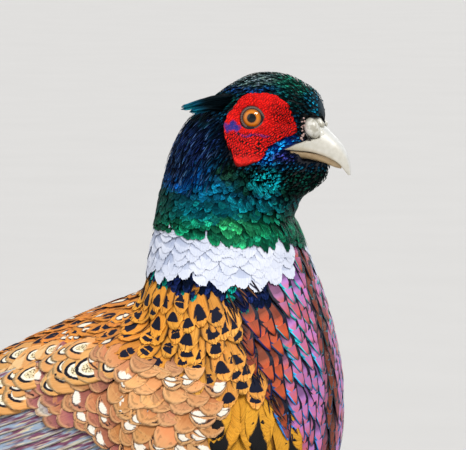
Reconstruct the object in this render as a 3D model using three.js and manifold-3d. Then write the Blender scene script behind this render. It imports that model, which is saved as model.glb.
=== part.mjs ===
// A cock common pheasant, life size, standing alert with the neck raised.
// The head is turned a little to its left.
// Millimetres, +Z up. The bird faces +X and its left side is +Y.
import * as THREE from "three";
import Module from "manifold-3d";

const wasm = await Module();
wasm.setup();

const DEGREE = Math.PI / 180;

// Driving sizes of the bird
const BODY_PITCH = 22 * DEGREE;
const BODY_CENTRE = { x: 0, z: 190 };
const NECK_X = 79;
const EYE_X = NECK_X + 18;
const EYE_Z = 371;
const HEAD_TURN = 9 * DEGREE;
const TURN_FROM_Z = 285;
const TURN_TO_Z = 332;
const GAP = 0.32;

// The body is one skin through flat cross-sections, each given by its place along the bird,
// its dorsal and ventral points, its half width and how far down from the dorsal point it is widest.
const inBody = (along, up) => ({
  x: BODY_CENTRE.x + along * Math.cos(BODY_PITCH) - up * Math.sin(BODY_PITCH),
  z: BODY_CENTRE.z + along * Math.sin(BODY_PITCH) + up * Math.cos(BODY_PITCH),
});

// Torso: place along the body axis, height of the back, depth of the belly, half width
const TORSO_SECTIONS = [
  [-175, 42, -12, 14],
  [-139, 52, 10, 27],
  [-103, 60.5, 32, 40],
  [-67, 67.5, 51, 49],
  [-31, 72, 65, 55],
  [5, 74.5, 73, 57.5],
  [41, 75.5, 75.5, 57.5],
  [61, 75, 75.5, 57],
];
// Neck base: the sections fan round a point behind the nape.
// Angle below level, reach to the nape and to the breast, half width
const NAPE_PIVOT = inBody(61, 113.8);
const NECK_FAN_START = 68;
const NECK_STEP = 1.25;
const NECK_SECTIONS = [
  [56.7, 39.3, 177.5, 56.5],
  [45.3, 38.5, 165.8, 54],
  [34, 33.4, 146, 50],
  [22.7, 30.2, 125.8, 44.5],
  [11.3, 29.5, 109.4, 39.5],
  [0, 30, 98.8, 36],
];
// Head: the sections fan round a point before the throat.
// Angle, reach to the throat and to the crown, half width
const THROAT_PIVOT = { x: NECK_X + 58, z: EYE_Z - 49 };
const HEAD_START = 150;
const HEAD_STEP = 1.03;
const HEAD_SECTIONS = [
  [180, 26.4, 92.2, 34.5],
  [170.4, 25, 90.8, 33],
  [160.8, 23.9, 90.3, 30.5],
  [151.1, 22.8, 89.8, 27.5],
  [141.5, 21, 87.5, 23.8],
  [131.9, 20.2, 85.2, 20.2],
  [122.3, 20.3, 82.2, 18],
  [112.6, 21.7, 75, 15.6],
  [105, 26, 66.5, 12.2],
  [101.5, 32, 61.5, 9],
  [99.5, 41, 57, 5.5],
];
const WIDEST_IN_BODY = 0.5;
const WIDEST_IN_HEAD = 0.58;
const WIDEST_STEP = 0.02;

const polar = (pivot, angle, reach) => ({
  x: pivot.x + reach * Math.cos(angle),
  z: pivot.z + reach * Math.sin(angle),
});

const SECTIONS = [
  ...TORSO_SECTIONS.map(([along, top, bottom, half]) => {
    const dorsal = inBody(along, top);
    const ventral = inBody(along, -bottom);
    return [along, dorsal.x, dorsal.z, ventral.x, ventral.z, half, WIDEST_IN_BODY];
  }),
  ...NECK_SECTIONS.map(([below, nape, breast, half]) => {
    const dorsal = polar(NAPE_PIVOT, -below * DEGREE, nape);
    const ventral = polar(NAPE_PIVOT, -below * DEGREE, breast);
    const at = TORSO_SECTIONS.at(-1)[0] + (NECK_FAN_START - below) * NECK_STEP;
    return [at, dorsal.x, dorsal.z, ventral.x, ventral.z, half, WIDEST_IN_BODY];
  }),
  ...HEAD_SECTIONS.map(([angle, throat, crown, half], i) => {
    const dorsal = polar(THROAT_PIVOT, angle * DEGREE, crown);
    const ventral = polar(THROAT_PIVOT, angle * DEGREE, throat);
    const widest = Math.min(WIDEST_IN_HEAD, WIDEST_IN_BODY + WIDEST_STEP * i);
    return [HEAD_START + (180 - angle) * HEAD_STEP, dorsal.x, dorsal.z, ventral.x, ventral.z, half, widest];
  }),
];
const BODY_REAR = SECTIONS[0][0];
const BODY_FRONT = SECTIONS.at(-1)[0];

// Smooth cubic through the sections, with the knots as unevenly spaced as they are
function sectionAt(at) {
  const last = SECTIONS.length - 1;
  let i = 0;
  while (i < last - 1 && at > SECTIONS[i + 1][0]) i += 1;
  const [a, b] = [SECTIONS[i], SECTIONS[i + 1]];
  const span = b[0] - a[0];
  const t = (at - a[0]) / span;
  const slope = (k, column) => {
    const [lo, hi] = [SECTIONS[Math.max(k - 1, 0)], SECTIONS[Math.min(k + 1, last)]];
    return (hi[column] - lo[column]) / (hi[0] - lo[0]);
  };
  return a.map((_, column) => {
    const [m0, m1] = [slope(i, column) * span, slope(i + 1, column) * span];
    return (
      a[column] * (1 + 2 * t) * (1 - t) ** 2 + m0 * t * (1 - t) ** 2 +
      b[column] * t * t * (3 - 2 * t) + m1 * t * t * (t - 1)
    );
  });
}

// Share of its width that the face keeps as it narrows from the eye forward to the bill.
// It narrows less at the brow, and not at all below the throat.
const FACE = { from: EYE_X, to: EYE_X + 15, narrow: 0.44, brow: 0.34 };
const BROW_LEVEL = [EYE_Z - 4, EYE_Z + 8];
const THROAT_LEVEL = [EYE_Z - 50, EYE_Z - 22];

function faceWidth(x, z) {
  const above = THREE.MathUtils.smoothstep(z, ...BROW_LEVEL);
  const narrowed = 1 - FACE.narrow - FACE.brow * above;
  const level = THREE.MathUtils.smoothstep(z, ...THROAT_LEVEL);
  return 1 - narrowed * level * THREE.MathUtils.smoothstep(x, FACE.from, FACE.to);
}

// A point of the skin: place along the bird, angle from the midline of the back, positive to the left
function skin(at, angle, lift = 0) {
  const [, dx, dz, vx, vz, half, widest] = sectionAt(at);
  const [cx, cz] = [dx + (vx - dx) * widest, dz + (vz - dz) * widest];
  const c = Math.cos(angle);
  const [ex, ez] = c >= 0 ? [dx - cx, dz - cz] : [cx - vx, cz - vz];
  const [x, z] = [cx + ex * c, cz + ez * c];
  const point = new THREE.Vector3(x, half * Math.sin(angle) * faceWidth(x, z), z);
  return lift ? point.addScaledVector(skinNormal(at, angle), lift) : point;
}

function skinNormal(at, angle) {
  const [da, dt] = [1, 0.02];
  const along = skin(Math.min(at + da, BODY_FRONT), angle).sub(skin(Math.max(at - da, BODY_REAR), angle));
  const round = skin(at, angle + dt).sub(skin(at, angle - dt));
  return round.cross(along).normalize().negate();
}

// The place and angle on the skin of a point given in side view, found by halving
const HALVINGS = 40;
const SIDE_FROM = HEAD_START - 20;
const NEAR_MIDLINE = 0.98;
function onSide(x, z, side) {
  let [lo, hi] = [SIDE_FROM, BODY_FRONT - 0.5];
  for (let i = 0; i < HALVINGS; i += 1) {
    const mid = (lo + hi) / 2;
    const [, dx, dz, vx, vz] = sectionAt(mid);
    if ((dx - vx) * (z - vz) - (dz - vz) * (x - vx) < 0) lo = mid;
    else hi = mid;
  }
  const [, dx, dz, vx, vz, , widest] = sectionAt(lo);
  const down = 1 - ((x - vx) * (dx - vx) + (z - vz) * (dz - vz)) / ((dx - vx) ** 2 + (dz - vz) ** 2);
  const c = down < widest ? (widest - down) / widest : -(down - widest) / (1 - widest);
  return [lo, side * Math.acos(THREE.MathUtils.clamp(c, -NEAR_MIDLINE, NEAR_MIDLINE))];
}

// The head's turn, which twists the neck about its own upright axis
function turned(point) {
  const t = THREE.MathUtils.smoothstep(point.z, TURN_FROM_Z, TURN_TO_Z);
  const pivot = new THREE.Vector3(NECK_X, 0, 0);
  return point.clone().sub(pivot).applyAxisAngle(new THREE.Vector3(0, 0, 1), HEAD_TURN * t).add(pivot);
}

// Solids from points
function solid(points, faces) {
  const vertProperties = new Float32Array(points.flatMap((p) => [p.x, p.y, p.z]));
  const build = (list) => {
    const triVerts = new Uint32Array(list.flat());
    return new wasm.Manifold(new wasm.Mesh({ numProp: 3, vertProperties, triVerts }));
  };
  const made = build(faces);
  return made.volume() > 0 ? made : build(faces.map(([a, b, c]) => [a, c, b]));
}

// A closed skin through rings of the same number of points, each end closed on the middle of its ring
function loft(rings) {
  const count = rings[0].length;
  const points = rings.flat();
  const faces = [];
  for (let r = 0; r < rings.length - 1; r += 1) {
    for (let i = 0; i < count; i += 1) {
      const [a, b] = [r * count + i, r * count + ((i + 1) % count)];
      faces.push([a, b, b + count], [a, b + count, a + count]);
    }
  }
  [0, rings.length - 1].forEach((r) => {
    const middle = rings[r].reduce((sum, p) => sum.add(p), new THREE.Vector3()).divideScalar(count);
    points.push(middle);
    for (let i = 0; i < count; i += 1) {
      const [a, b] = [r * count + i, r * count + ((i + 1) % count)];
      faces.push(r ? [a, b, points.length - 1] : [b, a, points.length - 1]);
    }
  });
  return solid(points, faces);
}

// A closed sheet between two grids of the same size, split into triangles alike on both faces
function sheet(top, bottom) {
  const [rows, columns] = [top.length, top[0].length];
  const points = [...top.flat(), ...bottom.flat()];
  const under = rows * columns;
  const id = (r, c) => r * columns + c;
  const faces = [];
  const quad = (a, b, c, d) => faces.push([a, b, c], [a, c, d]);
  for (let r = 0; r < rows - 1; r += 1) {
    for (let c = 0; c < columns - 1; c += 1) {
      const [p, q, s, t] = [id(r, c), id(r, c + 1), id(r + 1, c + 1), id(r + 1, c)];
      quad(p, q, s, t);
      faces.push([under + p, under + s, under + q], [under + p, under + t, under + s]);
    }
  }
  for (let c = 0; c < columns - 1; c += 1) {
    quad(id(0, c + 1), id(0, c), under + id(0, c), under + id(0, c + 1));
    quad(id(rows - 1, c), id(rows - 1, c + 1), under + id(rows - 1, c + 1), under + id(rows - 1, c));
  }
  for (let r = 0; r < rows - 1; r += 1) {
    quad(id(r, 0), id(r + 1, 0), under + id(r + 1, 0), under + id(r, 0));
    const [near, far] = [id(r, columns - 1), id(r + 1, columns - 1)];
    quad(far, near, under + near, under + far);
  }
  return solid(points, faces);
}

// One feather: rows from root to tip, each with its left, middle and right point and its outward direction.
// It is thickest along the shaft, flat below, and thin but solid at both edges.
const VANE_EDGE = 0.5;
const TIP_THINNER = 0.7;
const SHAFT_RISE = 0.2;

function vane(rows) {
  return loft(
    rows.map(({ left, middle, right, outward }, i) => {
      const edge = (VANE_EDGE / 2) * (i === rows.length - 1 ? TIP_THINNER : 1);
      const shift = (point, by) => point.clone().addScaledVector(outward, by);
      return [
        shift(left, edge),
        shift(middle, edge + SHAFT_RISE),
        shift(right, edge),
        shift(right, -edge),
        shift(left, -edge),
      ];
    }),
  );
}

// An ellipsoid from a sphere, with its half sizes along x, y and z, then pitched and placed
function ellipsoid(centre, sizes, pitch = 0, around = 14, high = 10) {
  const rings = [];
  for (let r = 1; r < high; r += 1) {
    const ring = [];
    const polarAngle = (Math.PI * r) / high;
    for (let i = 0; i < around; i += 1) {
      const turn = (2 * Math.PI * i) / around;
      const point = new THREE.Vector3(
        sizes[0] * Math.cos(polarAngle),
        sizes[1] * Math.sin(polarAngle) * Math.cos(turn),
        sizes[2] * Math.sin(polarAngle) * Math.sin(turn),
      );
      ring.push(point.applyAxisAngle(new THREE.Vector3(0, 1, 0), pitch).add(centre));
    }
    rings.push(ring);
  }
  return loft(rings);
}

// The largest closed surface of a solid, which drops scraps and sealed hollows
function largest(made) {
  return made.decompose().reduce((best, part) => (part.volume() > best.volume() ? part : best));
}

const joined = (parts) => largest(wasm.Manifold.union(parts));

const group = new THREE.Group();
function addNode(name, made, colour, roughness = 0.8) {
  const mesh = made.getMesh();
  const geometry = new THREE.BufferGeometry();
  geometry.setAttribute("position", new THREE.BufferAttribute(new Float32Array(mesh.vertProperties), 3));
  geometry.setIndex(new THREE.BufferAttribute(new Uint32Array(mesh.triVerts), 1));
  geometry.computeVertexNormals();
  const material = new THREE.MeshStandardMaterial({ color: colour, roughness, metalness: 0 });
  const node = new THREE.Mesh(geometry, material);
  node.name = name;
  group.add(node);
}

// Torso, collar, upper neck and head, cut from one skin by planes across the neck
const AROUND = 26;
const TORSO_RINGS = [-175, -160, -140, -115, -88, -60, -32, -5, 20, 40, 55, 66, 76, 86, 97, 107];
const NECK_RINGS = [116, 123, 130, 137, 144, 152, 160];
const HEAD_RINGS = [
  167, 173, 179, 185, 190, 195, 200, 205, 210, 214, 218, 222, 225.5, 228.5, 231, BODY_FRONT,
];
const COLLAR_BOTTOM = { x: NECK_X, z: 296, slope: -7 * DEGREE };
const COLLAR_TOP = { x: NECK_X, z: 311.5, slope: -4 * DEGREE };
const HEAD_CUT = { x: NECK_X, z: EYE_Z - 32, slope: -19 * DEGREE };

function bodySkin(lift) {
  return loft(
    [...TORSO_RINGS, ...NECK_RINGS, ...HEAD_RINGS].map((at) =>
      Array.from({ length: AROUND }, (_, i) => turned(skin(at, (2 * Math.PI * i) / AROUND, lift))),
    ),
  );
}

// The part of a solid above or below a plane across the neck, half a gap away from it
function cutAcross(made, plane, above) {
  const normal = [-Math.sin(plane.slope), 0, Math.cos(plane.slope)];
  const offset = plane.x * normal[0] + plane.z * normal[2];
  return above
    ? made.trimByPlane(normal, offset + GAP / 2)
    : made.trimByPlane(normal.map((n) => -n), -offset + GAP / 2);
}

const body = bodySkin(0);
const bodyGrown = bodySkin(GAP);
const torso = cutAcross(body, COLLAR_BOTTOM, false);
const collar = cutAcross(cutAcross(body, COLLAR_BOTTOM, true), COLLAR_TOP, false);
const upperNeck = cutAcross(cutAcross(body, COLLAR_TOP, true), HEAD_CUT, false);
const headBlank = cutAcross(body, HEAD_CUT, true);

// Eyes
const EYE_RADIUS = 7.2;
const EYE_PROUD = 1.1;
const EYE_FORWARD = 8 * DEGREE;
const EYE_UPWARD = 0.06;
const EYE_RINGS = 8;
const EYE_AROUND = 14;

function eyeCentre(side) {
  const [at, angle] = onSide(EYE_X, EYE_Z, side);
  return skin(at, angle).addScaledVector(eyeAxis(side), EYE_PROUD - EYE_RADIUS);
}

function eyeAxis(side) {
  return new THREE.Vector3(Math.sin(EYE_FORWARD), side * Math.cos(EYE_FORWARD), EYE_UPWARD).normalize();
}

function eyeball(side, radius) {
  const rings = [];
  const axis = eyeAxis(side);
  const across = new THREE.Vector3(0, 0, 1).cross(axis).normalize();
  const up = axis.clone().cross(across);
  for (let r = 1; r < EYE_RINGS; r += 1) {
    const tilt = (Math.PI * r) / EYE_RINGS;
    rings.push(
      Array.from({ length: EYE_AROUND }, (_, i) => {
        const turn = (2 * Math.PI * i) / EYE_AROUND;
        return turned(
          eyeCentre(side)
            .addScaledVector(axis, radius * Math.cos(tilt))
            .addScaledVector(across, radius * Math.sin(tilt) * Math.cos(turn))
            .addScaledVector(up, radius * Math.sin(tilt) * Math.sin(turn)),
        );
      }),
    );
  }
  return loft(rings);
}

// Red face wattle: a raised plate round the eye.
// Its outline is the reach from the eye every 20 degrees from forward, upward first
const WATTLE_REACH = [
  17.6, 17, 14.8, 12.8, 11.2, 11, 11.1, 10.1, 10.3, 12.2, 13.8, 15.2, 17, 22.3, 20.9, 15.2, 15.8, 20.2,
];
const WATTLE_LIFT = 1.0;
const WATTLE_BULB = 0.35;
const WATTLE_BANDS = [0, 0.03, 0.12, 0.34, 0.58, 0.82, 1];
const WATTLE_RINGS = WATTLE_BANDS.length - 1;
const LID_REACH = 5.7;
const LID_LIFT = 1.5;
const WATTLE_SPOKES = 26;
const WATTLE_ROOT = -1.6;
const WATTLE_RIM = 0.3;
const LID_INNER = 0.4;
const LID_OUTER = 1;
const LID_OVERHANG = 0.5;

function wattleReach(turn) {
  const place = THREE.MathUtils.euclideanModulo(turn / (2 * Math.PI), 1) * WATTLE_REACH.length;
  const [i, t] = [Math.floor(place), place % 1];
  const a = WATTLE_REACH[i % WATTLE_REACH.length];
  const b = WATTLE_REACH[(i + 1) % WATTLE_REACH.length];
  return a + (b - a) * t * t * (3 - 2 * t);
}

// Height of the wattle above the skin: a lid at its inner edge, then rows of small bulbs,
// then a rounded rim
function wattleLift(ring, spoke) {
  if (ring === 0) return LID_INNER;
  if (ring === 1) return LID_LIFT;
  if (ring === 2) return LID_OUTER;
  if (ring === WATTLE_RINGS) return WATTLE_RIM;
  return WATTLE_LIFT + ((ring + spoke) % 2 ? WATTLE_BULB : -WATTLE_BULB);
}

function wattle(side) {
  const place = (ring, spoke, lift) => {
    const turn = (2 * Math.PI * spoke) / WATTLE_SPOKES;
    const overhang = ring === 0 ? LID_OVERHANG : 0;
    const reach = THREE.MathUtils.lerp(LID_REACH, wattleReach(turn), WATTLE_BANDS[ring]) - overhang;
    const [at, angle] = onSide(EYE_X + reach * Math.cos(turn), EYE_Z + reach * Math.sin(turn), side);
    return turned(skin(at, angle, lift));
  };
  const grid = (liftOf) =>
    WATTLE_BANDS.map((_, ring) =>
      Array.from({ length: WATTLE_SPOKES }, (_, spoke) => place(ring, spoke, liftOf(ring, spoke))),
    );
  return ringSheet(grid(wattleLift), grid(() => WATTLE_ROOT));
}

// A closed sheet between two grids whose rows run in rings
function ringSheet(top, bottom) {
  const [rows, columns] = [top.length, top[0].length];
  const points = [...top.flat(), ...bottom.flat()];
  const under = rows * columns;
  const id = (r, c) => r * columns + (c % columns);
  const faces = [];
  for (let c = 0; c < columns; c += 1) {
    for (let r = 0; r < rows - 1; r += 1) {
      const [p, q, s, t] = [id(r, c), id(r, c + 1), id(r + 1, c + 1), id(r + 1, c)];
      faces.push([p, q, s], [p, s, t]);
      faces.push([under + p, under + s, under + q], [under + p, under + t, under + s]);
    }
    const [inner, next] = [id(0, c), id(0, c + 1)];
    faces.push([next, inner, under + inner], [next, under + inner, under + next]);
    const [outer, beyond] = [id(rows - 1, c), id(rows - 1, c + 1)];
    faces.push([outer, beyond, under + beyond], [outer, under + beyond, under + outer]);
  }
  return solid(points, faces);
}

// Bill: stations from the gape to the tip, from the neck's axis and the eye's height
const faceFrame = (x, y, z) => new THREE.Vector3(NECK_X + x, y, EYE_Z + z);
// Culmen x and z, cutting edge x and z, half width
const UPPER_BILL = [
  [38.5, 0.5, 32.4, -15.6, 8.8],
  [45, 0, 40.2, -16.1, 7.8],
  [49.5, -4.5, 44.5, -16.6, 6.7],
  [53.8, -8.7, 49, -17.9, 5.5],
  [57.5, -12.8, 53.2, -19.7, 4.4],
  [60, -17.3, 56.7, -22, 3.3],
  [61.6, -22.3, 59, -24.8, 2.1],
  [61.9, -27.4, 60.6, -27.3, 0.7],
];
// Half of a bill section from the culmen round the edge to the palate: height above the edge, width
const UPPER_BILL_SECTION = [
  [1, 0],
  [0.94, 0.34],
  [0.77, 0.64],
  [0.52, 0.86],
  [0.24, 0.98],
  [0, 1],
  [0.04, 0.72],
  [0.14, 0.36],
  [0.17, 0],
];
// Top x and z, bottom x and z, half width
const LOWER_BILL = [
  [33.5, -15.4, 34.5, -20.2, 7.4],
  [40, -15.8, 39.6, -20.2, 6.7],
  [46, -16.5, 45.4, -21.3, 5.2],
  [51, -18, 50.4, -22.7, 3.8],
  [54.5, -20.2, 54, -23.9, 2.6],
  [57.2, -22.6, 57, -24.5, 1.1],
];
const LOWER_BILL_SECTION = [[1, 0], [0.98, 0.6], [0.9, 1], [0.55, 0.9], [0.2, 0.62], [0, 0]];
// The soft lobe over each nostril, and the slit of the nostril under it
const NOSTRIL_LOBE = { x: 44.2, y: 4.6, z: -5.2, sizes: [3.8, 3.6, 4.9], pitch: -17 * DEGREE };
const NOSTRIL_SLIT = { x: 42.2, y: 7, z: -8.6, sizes: [3.4, 1.9, 0.75], pitch: 54 * DEGREE };
const NOSTRIL_FACETS = [10, 7];
const SLIT_FACETS = [6, 5];
const PALATE_HEIGHT = 0.3;

function billRings(stations, halfSection, grow = 0) {
  return stations.map(([topX, topZ, edgeX, edgeZ, half]) => {
    const ring = halfSection.map(([h, w]) => {
      const length = Math.hypot(topX - edgeX, topZ - edgeZ);
      const height = h * length + (h > PALATE_HEIGHT ? grow : -grow);
      const [ux, uz] = [(topX - edgeX) / length, (topZ - edgeZ) / length];
      return [edgeX + ux * height, w * half + (w ? grow : 0), edgeZ + uz * height];
    });
    const left = ring.map(([x, y, z]) => faceFrame(x, y, z));
    const right = ring.slice(1, -1).reverse().map(([x, y, z]) => faceFrame(x, -y, z));
    return [...left, ...right].map(turned);
  });
}

// The horn leaves a pocket on each side for the lobe and the feathers behind it
const POCKET = [[30, -15.4], [36.5, -12.4], [41, -10.9], [46.8, -10], [49, -6.5], [49, 4], [30, 4]];
const POCKET_SIDES = [2.4, 14];
// The feathers end behind the bill along this line, from the brow round to the chin
const FEATHERS_END = [
  [41.8, 0.6],
  [47.4, 0.6],
  [51, 5.6],
  [64, 5.6],
  [64, -29],
  [57, -25],
  [50.4, -23.05],
  [45.4, -21.65],
  [38.9, -20.55],
  [38.9, -14],
];
const BILL_BED_HALF = 12;

// A solid across the face from its outline in side view
function acrossFace(outline, from, to) {
  return loft([from, to].map((y) => outline.map(([x, z]) => turned(faceFrame(x, y, z)))));
}

function pocket(side, grow) {
  const outline = POCKET.map(([x, z]) => [x - grow, z + grow]);
  return acrossFace(outline, side * (POCKET_SIDES[0] + grow), side * POCKET_SIDES[1]);
}

function nostril({ x, y, z, sizes, pitch }, side, grow, facets) {
  const centre = turned(faceFrame(x, side * y, z));
  return ellipsoid(centre, sizes.map((size) => size + grow), pitch, ...facets);
}

function upperBill(grow = 0) {
  const pockets = wasm.Manifold.union([pocket(1, grow), pocket(-1, grow)]);
  return joined([
    loft(billRings(UPPER_BILL, UPPER_BILL_SECTION, grow)).subtract(pockets),
    nostril(NOSTRIL_LOBE, 1, grow, NOSTRIL_FACETS),
    nostril(NOSTRIL_LOBE, -1, grow, NOSTRIL_FACETS),
  ]);
}

const slits = [1, -1].map((side) => nostril(NOSTRIL_SLIT, side, 0, SLIT_FACETS));
const upper = largest(upperBill().subtract(wasm.Manifold.union(slits)));
const lower = loft(billRings(LOWER_BILL, LOWER_BILL_SECTION)).subtract(upperBill(GAP));
const mouth = wasm.Manifold.union([
  upperBill(GAP),
  loft(billRings(LOWER_BILL, LOWER_BILL_SECTION, GAP)),
  acrossFace(FEATHERS_END, -BILL_BED_HALF, BILL_BED_HALF),
]);

// Ear tufts: swept-back horns of a few narrow feathers behind the eyes
const TUFT_ROOT = { x: NECK_X + 7, z: EYE_Z + 8.5 };
const TUFT_TIP = faceFrame(-17.6, 22.5, 4.4);
// For each feather: step back and up of its root, step back, out and up of its tip, half width
const TUFT_FEATHERS = [
  [0, 1.5, 1.5, -1.2, 2.6, 2.3],
  [0, 0, 0, 0, 0, 2.6],
  [2, -2, 3.5, 0.8, -2.2, 2.4],
  [4, -4, 8, 0.4, -4.6, 2.2],
];
const TUFT_ROWS = [[0, 0.8], [0.35, 1], [0.7, 0.8], [1, 0.15]];
const TUFT_SUNK = -2.2;
const TUFT_BOW = 1.6;

function tuft(side) {
  return TUFT_FEATHERS.map(([rootBack, rootUp, tipBack, tipOut, tipUp, half]) => {
    const [at, angle] = onSide(TUFT_ROOT.x - rootBack, TUFT_ROOT.z + rootUp, side);
    const root = skin(at, angle, TUFT_SUNK);
    const outward = skinNormal(at, angle);
    const tip = TUFT_TIP.clone().add(new THREE.Vector3(tipBack, tipOut, tipUp));
    tip.y *= side;
    const across = outward.clone().cross(tip.clone().sub(root)).normalize();
    return vane(
      TUFT_ROWS.map(([t, share]) => {
        const middle = root.clone().lerp(tip, t).addScaledVector(outward, TUFT_BOW * Math.sin(Math.PI * t));
        return {
          left: turned(middle.clone().addScaledVector(across, -half * share)),
          middle: turned(middle),
          right: turned(middle.clone().addScaledVector(across, half * share)),
          outward,
        };
      }),
    );
  });
}

const sockets = wasm.Manifold.union([eyeball(1, EYE_RADIUS + GAP), eyeball(-1, EYE_RADIUS + GAP)]);
const head = largest(
  wasm.Manifold.union([headBlank, wattle(1), wattle(-1), ...tuft(1), ...tuft(-1)])
    .subtract(sockets)
    .subtract(mouth),
);

// Wings: folded against the body. A core under the shoulder carries the feathers, which overlap in tiers.
// Place along the body, upper and lower edge as angles from the back's midline, share of the full thickness
const WING_CORE = [
  [85, 63, 82, 0.3],
  [72, 47, 98, 0.8],
  [50, 38, 108, 1],
  [12, 34, 108, 0.85],
  [-30, 38, 98, 0.35],
];
const CORE_EDGE = 1.2;
const CORE_THICKNESS = 5.2;
const CORE_ACROSS = 6;
const CORE_SUNK = -1.5;
const CORE_ROUNDNESS = 0.6;

function wingCore(side) {
  const grid = (liftOf) =>
    WING_CORE.map(([at, high, low, share]) =>
      Array.from({ length: CORE_ACROSS + 1 }, (_, i) => {
        const t = i / CORE_ACROSS;
        return skin(at, side * (high + (low - high) * t) * DEGREE, liftOf(t, share));
      }),
    );
  const topLift = (t, share) =>
    CORE_EDGE + (CORE_THICKNESS - CORE_EDGE) * share * Math.sin(Math.PI * t) ** CORE_ROUNDNESS;
  return sheet(grid(topLift), grid(() => CORE_SUNK));
}

// Each tier runs from its lowest feather to its highest: place and angle of roots and tips, half width,
// lift of roots and tips off the body
const LONG_VANE_ROWS = [[0, 0.6], [0.3, 0.92], [0.62, 1], [0.88, 0.72], [1, 0.2]];
const SHORT_VANE_ROWS = [[0, 0.7], [0.55, 1], [0.87, 0.74], [1, 0.2]];
const VANE_TILT = 0.9;
const LIFT_EARLY = 1.6;
const WING_TIERS = [
  // Primaries
  {
    count: 3, half: [8, 6.5], rows: LONG_VANE_ROWS,
    rootAt: [-8, -24], rootAngle: [104, 86], rootLift: 1.2,
    tipAt: [-126, -160], tipAngle: [102, 70], tipLift: [1.6, 2],
  },
  // Secondaries
  {
    count: 7, half: [7.4, 7.8], rows: LONG_VANE_ROWS,
    rootAt: [18, 0], rootAngle: [103, 55], rootLift: 3,
    tipAt: [-68, -146], tipAngle: [108, 52], tipLift: [3.8, 4.2],
  },
  // Tertials
  {
    count: 3, half: [7.8, 7.2], rows: LONG_VANE_ROWS,
    rootAt: [2, 10], rootAngle: [54, 37], rootLift: 3.2,
    tipAt: [-136, -104], tipAngle: [46, 30], tipLift: [5.8, 6.2],
  },
  // Greater coverts
  {
    count: 7, half: [8.6, 9], rows: SHORT_VANE_ROWS,
    rootAt: [48, 42], rootAngle: [103, 43], rootLift: 4,
    tipAt: [0, -58], tipAngle: [105, 40], tipLift: [6.4, 7],
  },
  // Median coverts
  {
    count: 6, half: [8, 9.4], rows: SHORT_VANE_ROWS,
    rootAt: [71, 64], rootAngle: [94, 53], rootLift: 3,
    tipAt: [32, 6], tipAngle: [102, 43], tipLift: [8.2, 8.6],
  },
];

// A point of a wing feather, some way along it and to one side of its shaft.
// Its lower edge is lifted over the next feather
function wingPoint(side, feather, t, across) {
  const at = THREE.MathUtils.lerp(feather.rootAt, feather.tipAt, t);
  const angle = side * THREE.MathUtils.lerp(feather.rootAngle, feather.tipAngle, t) * DEGREE;
  const alongStep = skin(at + 0.5, angle).sub(skin(at - 0.5, angle));
  const roundStep = skin(at, angle + 0.01).sub(skin(at, angle - 0.01));
  const run = alongStep.clone().multiplyScalar(feather.tipAt - feather.rootAt);
  run.addScaledVector(roundStep, (side * (feather.tipAngle - feather.rootAngle) * DEGREE) / 0.02);
  const outward = skinNormal(at, angle);
  const sideways = outward.clone().cross(run).normalize().multiplyScalar(-side * across);
  const lift = THREE.MathUtils.lerp(feather.rootLift, feather.tipLift, Math.min(1, t * LIFT_EARLY));
  const tilt = VANE_TILT * Math.sign(across);
  return skin(
    at + sideways.dot(alongStep) / alongStep.lengthSq(),
    angle + (0.02 * sideways.dot(roundStep)) / roundStep.lengthSq(),
    lift + tilt,
  );
}

function wingFeather(side, feather) {
  return vane(
    feather.rows.map(([t, share]) => ({
      left: wingPoint(side, feather, t, -feather.half * share),
      middle: wingPoint(side, feather, t, 0),
      right: wingPoint(side, feather, t, feather.half * share),
      outward: skinNormal(
        THREE.MathUtils.lerp(feather.rootAt, feather.tipAt, t),
        side * THREE.MathUtils.lerp(feather.rootAngle, feather.tipAngle, t) * DEGREE,
      ),
    })),
  );
}

function wing(side) {
  const feathers = WING_TIERS.flatMap((tier) =>
    Array.from({ length: tier.count }, (_, i) => {
      const share = i / (tier.count - 1);
      const between = ([first, last]) => THREE.MathUtils.lerp(first, last, share);
      return wingFeather(side, {
        rootAt: between(tier.rootAt),
        rootAngle: between(tier.rootAngle),
        tipAt: between(tier.tipAt),
        tipAngle: between(tier.tipAngle),
        half: between(tier.half),
        rows: tier.rows,
        rootLift: tier.rootLift,
        tipLift: between(tier.tipLift),
      });
    }),
  );
  return largest(wasm.Manifold.union([wingCore(side), ...feathers]).subtract(bodyGrown));
}

// Tail: a long graduated train. The middle pair lies on top, and each pair further out is shorter
// and lies lower.
const TAIL_ROOT = { x: -150, z: 155 };
const TAIL_PITCH = 4 * DEGREE;
const TAIL_LENGTHS = [490, 430, 362, 300, 248, 205, 170, 140, 116];
const TAIL_CENTRES = [5, 13, 16, 18.5, 20.8, 22.8, 24.6, 26.2, 27.6];
const TAIL_HALF = [14.5, 8.5];
const TAIL_TOP = 3.8;
const TAIL_STEP = 1.2;
const TAIL_FAN_LENGTH = 60;
const TAIL_FAN_START = 0.5;
const ROOF_DROOP = 0.005;
const TOP_STAGGER = 0.9;
const OUTER_CLOSING = 0.3;
const MIDDLE_CLOSING = 0.5;
const TAIL_ROWS = [[0, 0.6], [0.14, 0.95], [0.34, 1], [0.56, 0.88], [0.78, 0.62], [0.93, 0.3], [1, 0.06]];
const SHORT_TAIL_ROWS = [[0, 0.6], [0.4, 1], [0.75, 0.82], [0.94, 0.42], [1, 0.12]];
const LONG_PAIRS = 4;

const inTail = (along, across, up) =>
  new THREE.Vector3(
    TAIL_ROOT.x - along * Math.cos(TAIL_PITCH) - up * Math.sin(TAIL_PITCH),
    across,
    TAIL_ROOT.z - along * Math.sin(TAIL_PITCH) + up * Math.cos(TAIL_PITCH),
  );
const TAIL_UP = new THREE.Vector3(-Math.sin(TAIL_PITCH), 0, Math.cos(TAIL_PITCH));

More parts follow.
